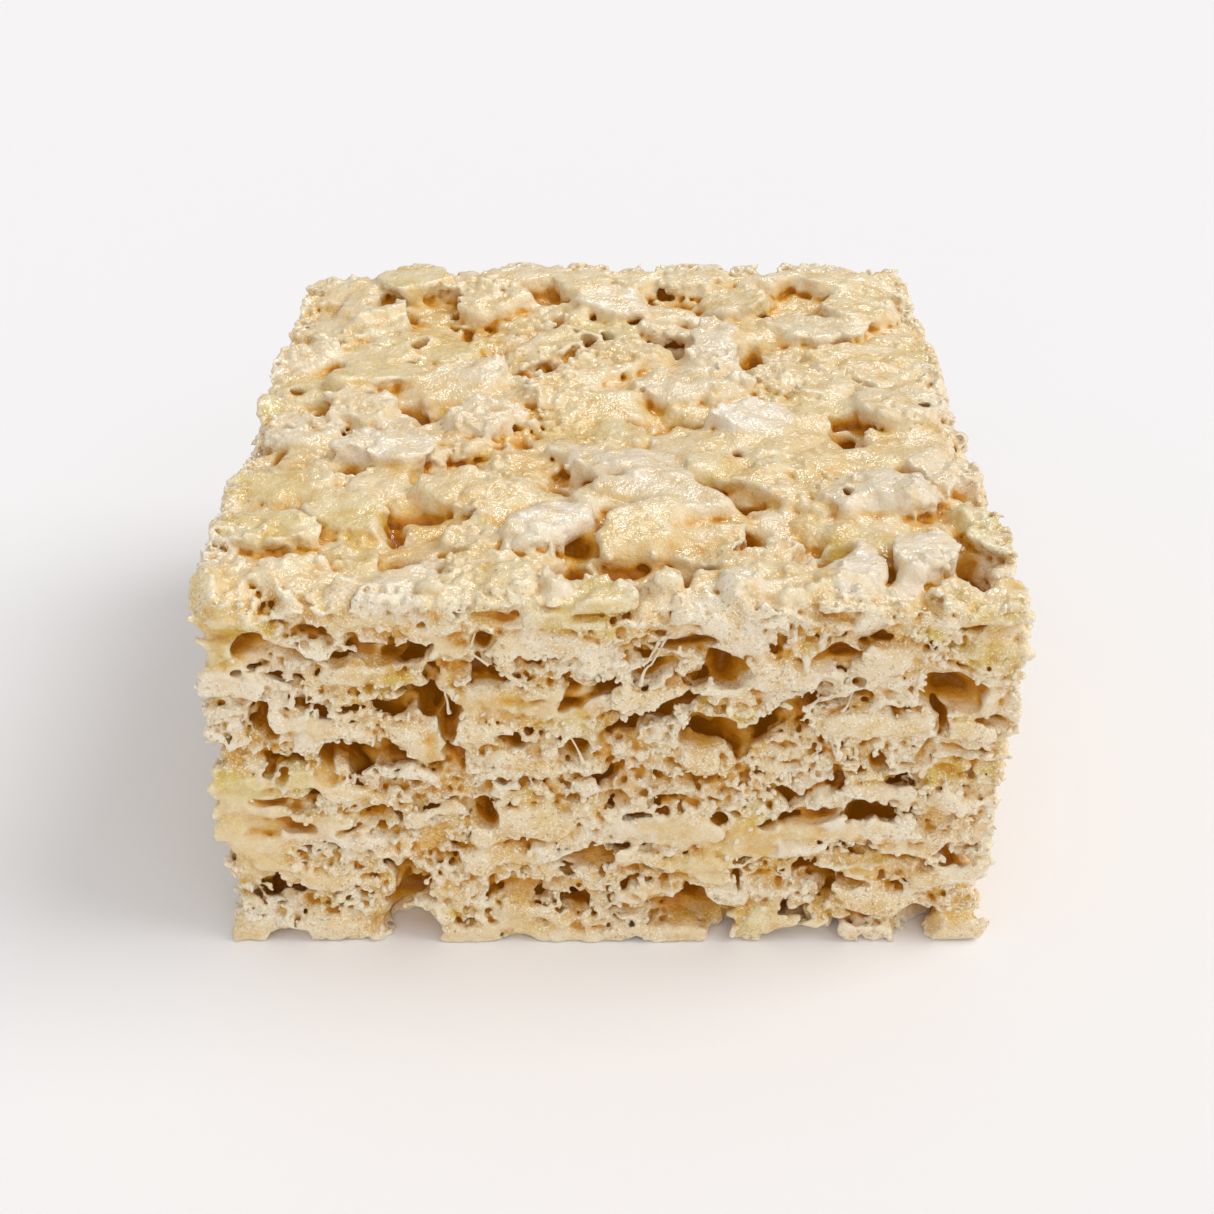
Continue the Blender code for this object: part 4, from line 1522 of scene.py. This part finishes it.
@dataclass
class MarshmallowThreads:
    """The fine threads that the knife pulled out of the marshmallow.

    Attributes:
        thickness: half a thread's thickness.
        wobble: how far a thread strays from straight.
        plane: where the threads hang, along y.
        start_depth: how much deeper they start.
        seed: the seed of their bends.
        threads: x and z of each thread's start and of its end.
    """

    thickness: float = 0.075
    wobble: float = 0.9
    plane: float = -25.3
    start_depth: float = 0.5
    seed: int = 41
    threads: tuple[tuple[float, float, float, float], ...] = (
        (4.0, 25.0, 1.5, 21.3),
        (3.2, 24.4, 1.9, 22.6),
        (-7.8, 25.4, -8.3, 23.6),
        (-8.9, 24.4, -7.7, 22.6),
        (-9.8, 21.0, -9.9, 18.9),
        (15.4, 20.9, 14.6, 19.3),
        (-2.6, 17.4, -1.6, 15.3),
    )

    def tree(self, material: bpy.types.Material) -> bpy.types.NodeTree:
        """The tree that makes a bent thread along every edge, thicker at its ends."""
        inputs = {"Thickness": "Float", "Wobble": "Float", "Seed": "Float"}
        tree, made = node_group("threads along edges", inputs)
        bending = {"noise_dimensions": "4D", "Scale": 450.0, "Detail": 1.0}
        sweeping = {"Curve": "bent", "Profile Curve": "ring", "Scale": "size"}
        rows = (
            ("curves", "GeometryNodeMeshToCurve", {}, {"Mesh": "Geometry"}),
            ("fine", "GeometryNodeResampleCurve", {"Count": 14}, {"Curve": "curves"}),
            ("noise", NOISE, bending, {"W": "Seed"}, "Color"),
            ("centred", VECTOR, {"operation": "SUBTRACT", 1: (0.5, 0.5, 0.5)}, {0: "noise"}),
            ("bend", VECTOR, STRETCH, {0: "centred", "Scale": "Wobble"}),
            ("bent", "GeometryNodeSetPosition", {}, {"Geometry": "fine", "Offset": "bend"}),
            ("along", "GeometryNodeSplineParameter", {}, {}, "Factor"),
            ("off_middle", MATH, {"operation": "SUBTRACT", 1: 0.5}, {0: "along"}),
            ("squared", MATH, TIMES, {0: "off_middle", 1: "off_middle"}),
            ("flare", MATH, {"operation": "MULTIPLY_ADD", 1: 5.0, 2: 0.9}, {0: "squared"}),
            ("size", MATH, TIMES, {0: "flare", 1: "Thickness"}),
            ("ring", "GeometryNodeCurvePrimitiveCircle", {"Resolution": 8, "Radius": 1.0}, {}),
            ("tubes", "GeometryNodeCurveToMesh", {"Fill Caps": True}, sweeping),
        )
        wire(tree, rows, made)
        finish_tree(tree, made["tubes"], material)
        return tree

    def build(self, material: bpy.types.Material) -> bpy.types.Object:
        """Pulls the threads."""
        points, edges = [], []
        for x, z, to_x, to_z in self.threads:
            edges.append((len(points), len(points) + 1))
            points.append((x * MM, (self.plane + self.start_depth) * MM, z * MM))
            points.append((to_x * MM, self.plane * MM, to_z * MM))
        carrier = bpy.data.meshes.new("thread paths")
        carrier.from_pydata(points, edges, [])
        values = {"Thickness": self.thickness * MM, "Wobble": 2 * self.wobble * MM, "Seed": float(self.seed)}
        return grown("marshmallow_threads", carrier, self.tree(material), values)


@dataclass
class Treat:
    """The whole treat, piece by piece.

    Attributes:
        outline: the block's outline.
        front_step: the spacing of the samples over the front cut, which shows its crumb.
        top_step: the spacing over the top.
        other_step: the spacing over the other sides.
        low, high: the corners of the box of samples, a little outside the treat.
        front_end: where the samples of the front end, as y and z.
        top_start: how high those of the top begin.
        seed: the seed of the scattered gaps.
    """

    outline: Outline = field(default_factory=Outline)
    front_step: float = 0.13
    top_step: float = 0.17
    other_step: float = 0.275
    low: tuple[float, float, float] = (-27.0, -27.0, -0.7)
    high: tuple[float, float, float] = (27.0, 27.0, 29.9)
    front_end: tuple[float, float] = (-17.0, 27.5)
    top_start: float = 19.6
    seed: int = 23

    def grow(self, grid: Grid) -> PressedMass:
        """Grows the fused mass over a grid."""
        bed = GrainBed(self.outline)
        gaps = Gaps()
        taken = [row[:2] for row in gaps.top]
        random = np.random.default_rng(bed.seed)
        grains = bed.top_grains(random, taken) + bed.layered_grains(random)
        mass = PressedMass(grid, self.outline)
        mass.grow(grains)
        mass.fill()
        mass.fuse()
        mass.part()
        mass.sugar()
        mass.cut()
        mass.crumble()
        mass.lay_ridges(WholeGrains(self.outline).all())
        mass.open_gaps(gaps, np.random.default_rng(self.seed))
        mass.settle()
        LOG.info("%d grains over %s samples", len(grains), "x".join(map(str, grid.shape)))
        return mass

    def build(self) -> list[bpy.types.Object]:
        """Makes every piece of the pressed mass."""
        material = CrispRice().make()
        partition = Partition(self.outline)
        stretches = (
            (FRONT_ZONES, Grid(self.low, (self.high[0], *self.front_end), self.front_step)),
            (TOP_ZONES, Grid((*self.low[:2], self.top_start), self.high, self.top_step)),
            (OTHER_ZONES, Grid(self.low, self.high, self.other_step)),
        )
        pieces = []
        for zones, grid in stretches:
            mass = self.grow(grid)
            mesher = TreatMesher(mass)
            for zone, border in partition.borders(grid, zones).items():
                pieces.append(mesher.build(zone, partition.piece_field(mass.mass, border), material))
        cut = np.concatenate([self.points_of(piece) for piece in pieces if piece.name in CUT_NAMES])
        pieces.append(LooseCrumbs(self.outline).build(cut, material))
        pieces.append(MarshmallowThreads().build(material))
        return pieces

    def points_of(self, piece: bpy.types.Object) -> np.ndarray:
        """A piece's points, in millimetres."""
        points = np.zeros(len(piece.data.vertices) * 3, np.float32)
        piece.data.vertices.foreach_get("co", points)
        return points.reshape(-1, 3) / MM


@dataclass(frozen=True)
class Sun:
    """A broad, far light.

    Attributes:
        name: its name.
        strength: how strong it is.
        spread: how wide it looks, in degrees, which softens its shadows.
        turn: its rotation, in degrees.
        colour: its colour.
        gloss_only: whether it shows only as highlights.
    """

    name: str
    strength: float
    spread: float
    turn: tuple[float, float, float]
    colour: tuple[float, float, float] = (1.0, 1.0, 1.0)
    gloss_only: bool = False

    def build(self) -> None:
        """Adds the light to the scene."""
        lamp = bpy.data.lights.new(self.name, "SUN")
        lamp.energy = self.strength
        lamp.angle = math.radians(self.spread)
        lamp.color = self.colour
        sun = bpy.data.objects.new(self.name, lamp)
        sun.rotation_euler = [math.radians(angle) for angle in self.turn]
        sun.visible_diffuse = not self.gloss_only
        bpy.context.scene.collection.objects.link(sun)


@dataclass
class Studio:
    """A white table, a bright room, a soft key light from the right and the camera.

    Attributes:
        lens, sensor: the focal length and the width of the sensor.
        look_down: the camera's angle below level, in degrees.
        camera_place: the camera's place, in millimetres.
        sight: how near and how far the camera sees, in metres.
        floor_size, floor_colour: the table's size in metres and its colour.
        room_strength, room_colour: the light of the bright room.
        suns: the key light, the fill light and one that gives only highlights.
    """

    lens: float = 49.37
    sensor: float = 36.0
    look_down: float = 32.84
    camera_place: tuple[float, float, float] = (-0.119, -109.653, 81.417)
    sight: tuple[float, float] = (0.005, 20.0)
    floor_size: float = 4.0
    floor_colour: str = "#F8F6F6"
    room_strength: float = 0.56
    room_colour: tuple[float, float, float, float] = (0.97, 0.98, 1.0, 1.0)
    suns: tuple[Sun, ...] = (
        Sun("key", 1.40, 38.0, (0.0, 43.0, 2.0), colour=(1.0, 0.985, 0.965)),
        Sun("fill", 0.62, 70.0, (55.0, 0.0, 10.0)),
        Sun("glint", 2.0, 8.0, (-36.0, 10.0, 0.0), gloss_only=True),
    )

    def build(self) -> None:
        """Sets the studio up."""
        self.floor()
        for sun in self.suns:
            sun.build()
        self.room()
        self.camera()
        bpy.context.scene.view_settings.view_transform = "Standard"

    def floor(self) -> None:
        """A large white table top."""
        half = self.floor_size / 2
        corners = [(-half, -half, 0), (half, -half, 0), (half, half, 0), (-half, half, 0)]
        mesh = bpy.data.meshes.new("table_top")
        mesh.from_pydata(corners, [], [(0, 1, 2, 3)])
        table = bpy.data.objects.new("table_top", mesh)
        bpy.context.scene.collection.objects.link(table)
        material = bpy.data.materials.new("white laminate")
        material.use_nodes = True
        shader = material.node_tree.nodes["Principled BSDF"].inputs
        shader["Base Color"].default_value = linear(self.floor_colour)
        shader["Roughness"].default_value = 0.5
        shader["Specular IOR Level"].default_value = 0.0
        mesh.materials.append(material)

    def room(self) -> None:
        """The bright room round the table."""
        world = bpy.data.worlds.new("bright room")
        world.use_nodes = True
        sky = world.node_tree.nodes["Background"]
        sky.inputs["Color"].default_value = self.room_colour
        sky.inputs["Strength"].default_value = self.room_strength
        bpy.context.scene.world = world

    def camera(self) -> None:
        """The camera at the photograph's angle."""
        data = bpy.data.cameras.new("camera")
        data.lens = self.lens
        data.sensor_width = self.sensor
        data.clip_start, data.clip_end = self.sight
        camera = bpy.data.objects.new("camera", data)
        camera.location = [value * MM for value in self.camera_place]
        camera.rotation_euler = (math.radians(90 - self.look_down), 0.0, 0.0)
        bpy.context.scene.collection.objects.link(camera)
        bpy.context.scene.camera = camera


def attach(piece: bpy.types.Object) -> None:
    """Ties a piece to the frame."""
    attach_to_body(piece, BODY)
    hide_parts(NODE)
    LOG.info("%s: %d faces", piece.name, len(piece.data.polygons))


def main() -> None:
    """Builds the treat and its studio."""
    logging.basicConfig(level=logging.INFO, format="%(relativeCreated)d ms %(message)s")
    Studio().build()
    for piece in Treat().build():
        attach(piece)


if __name__ == "__main__":
    main()
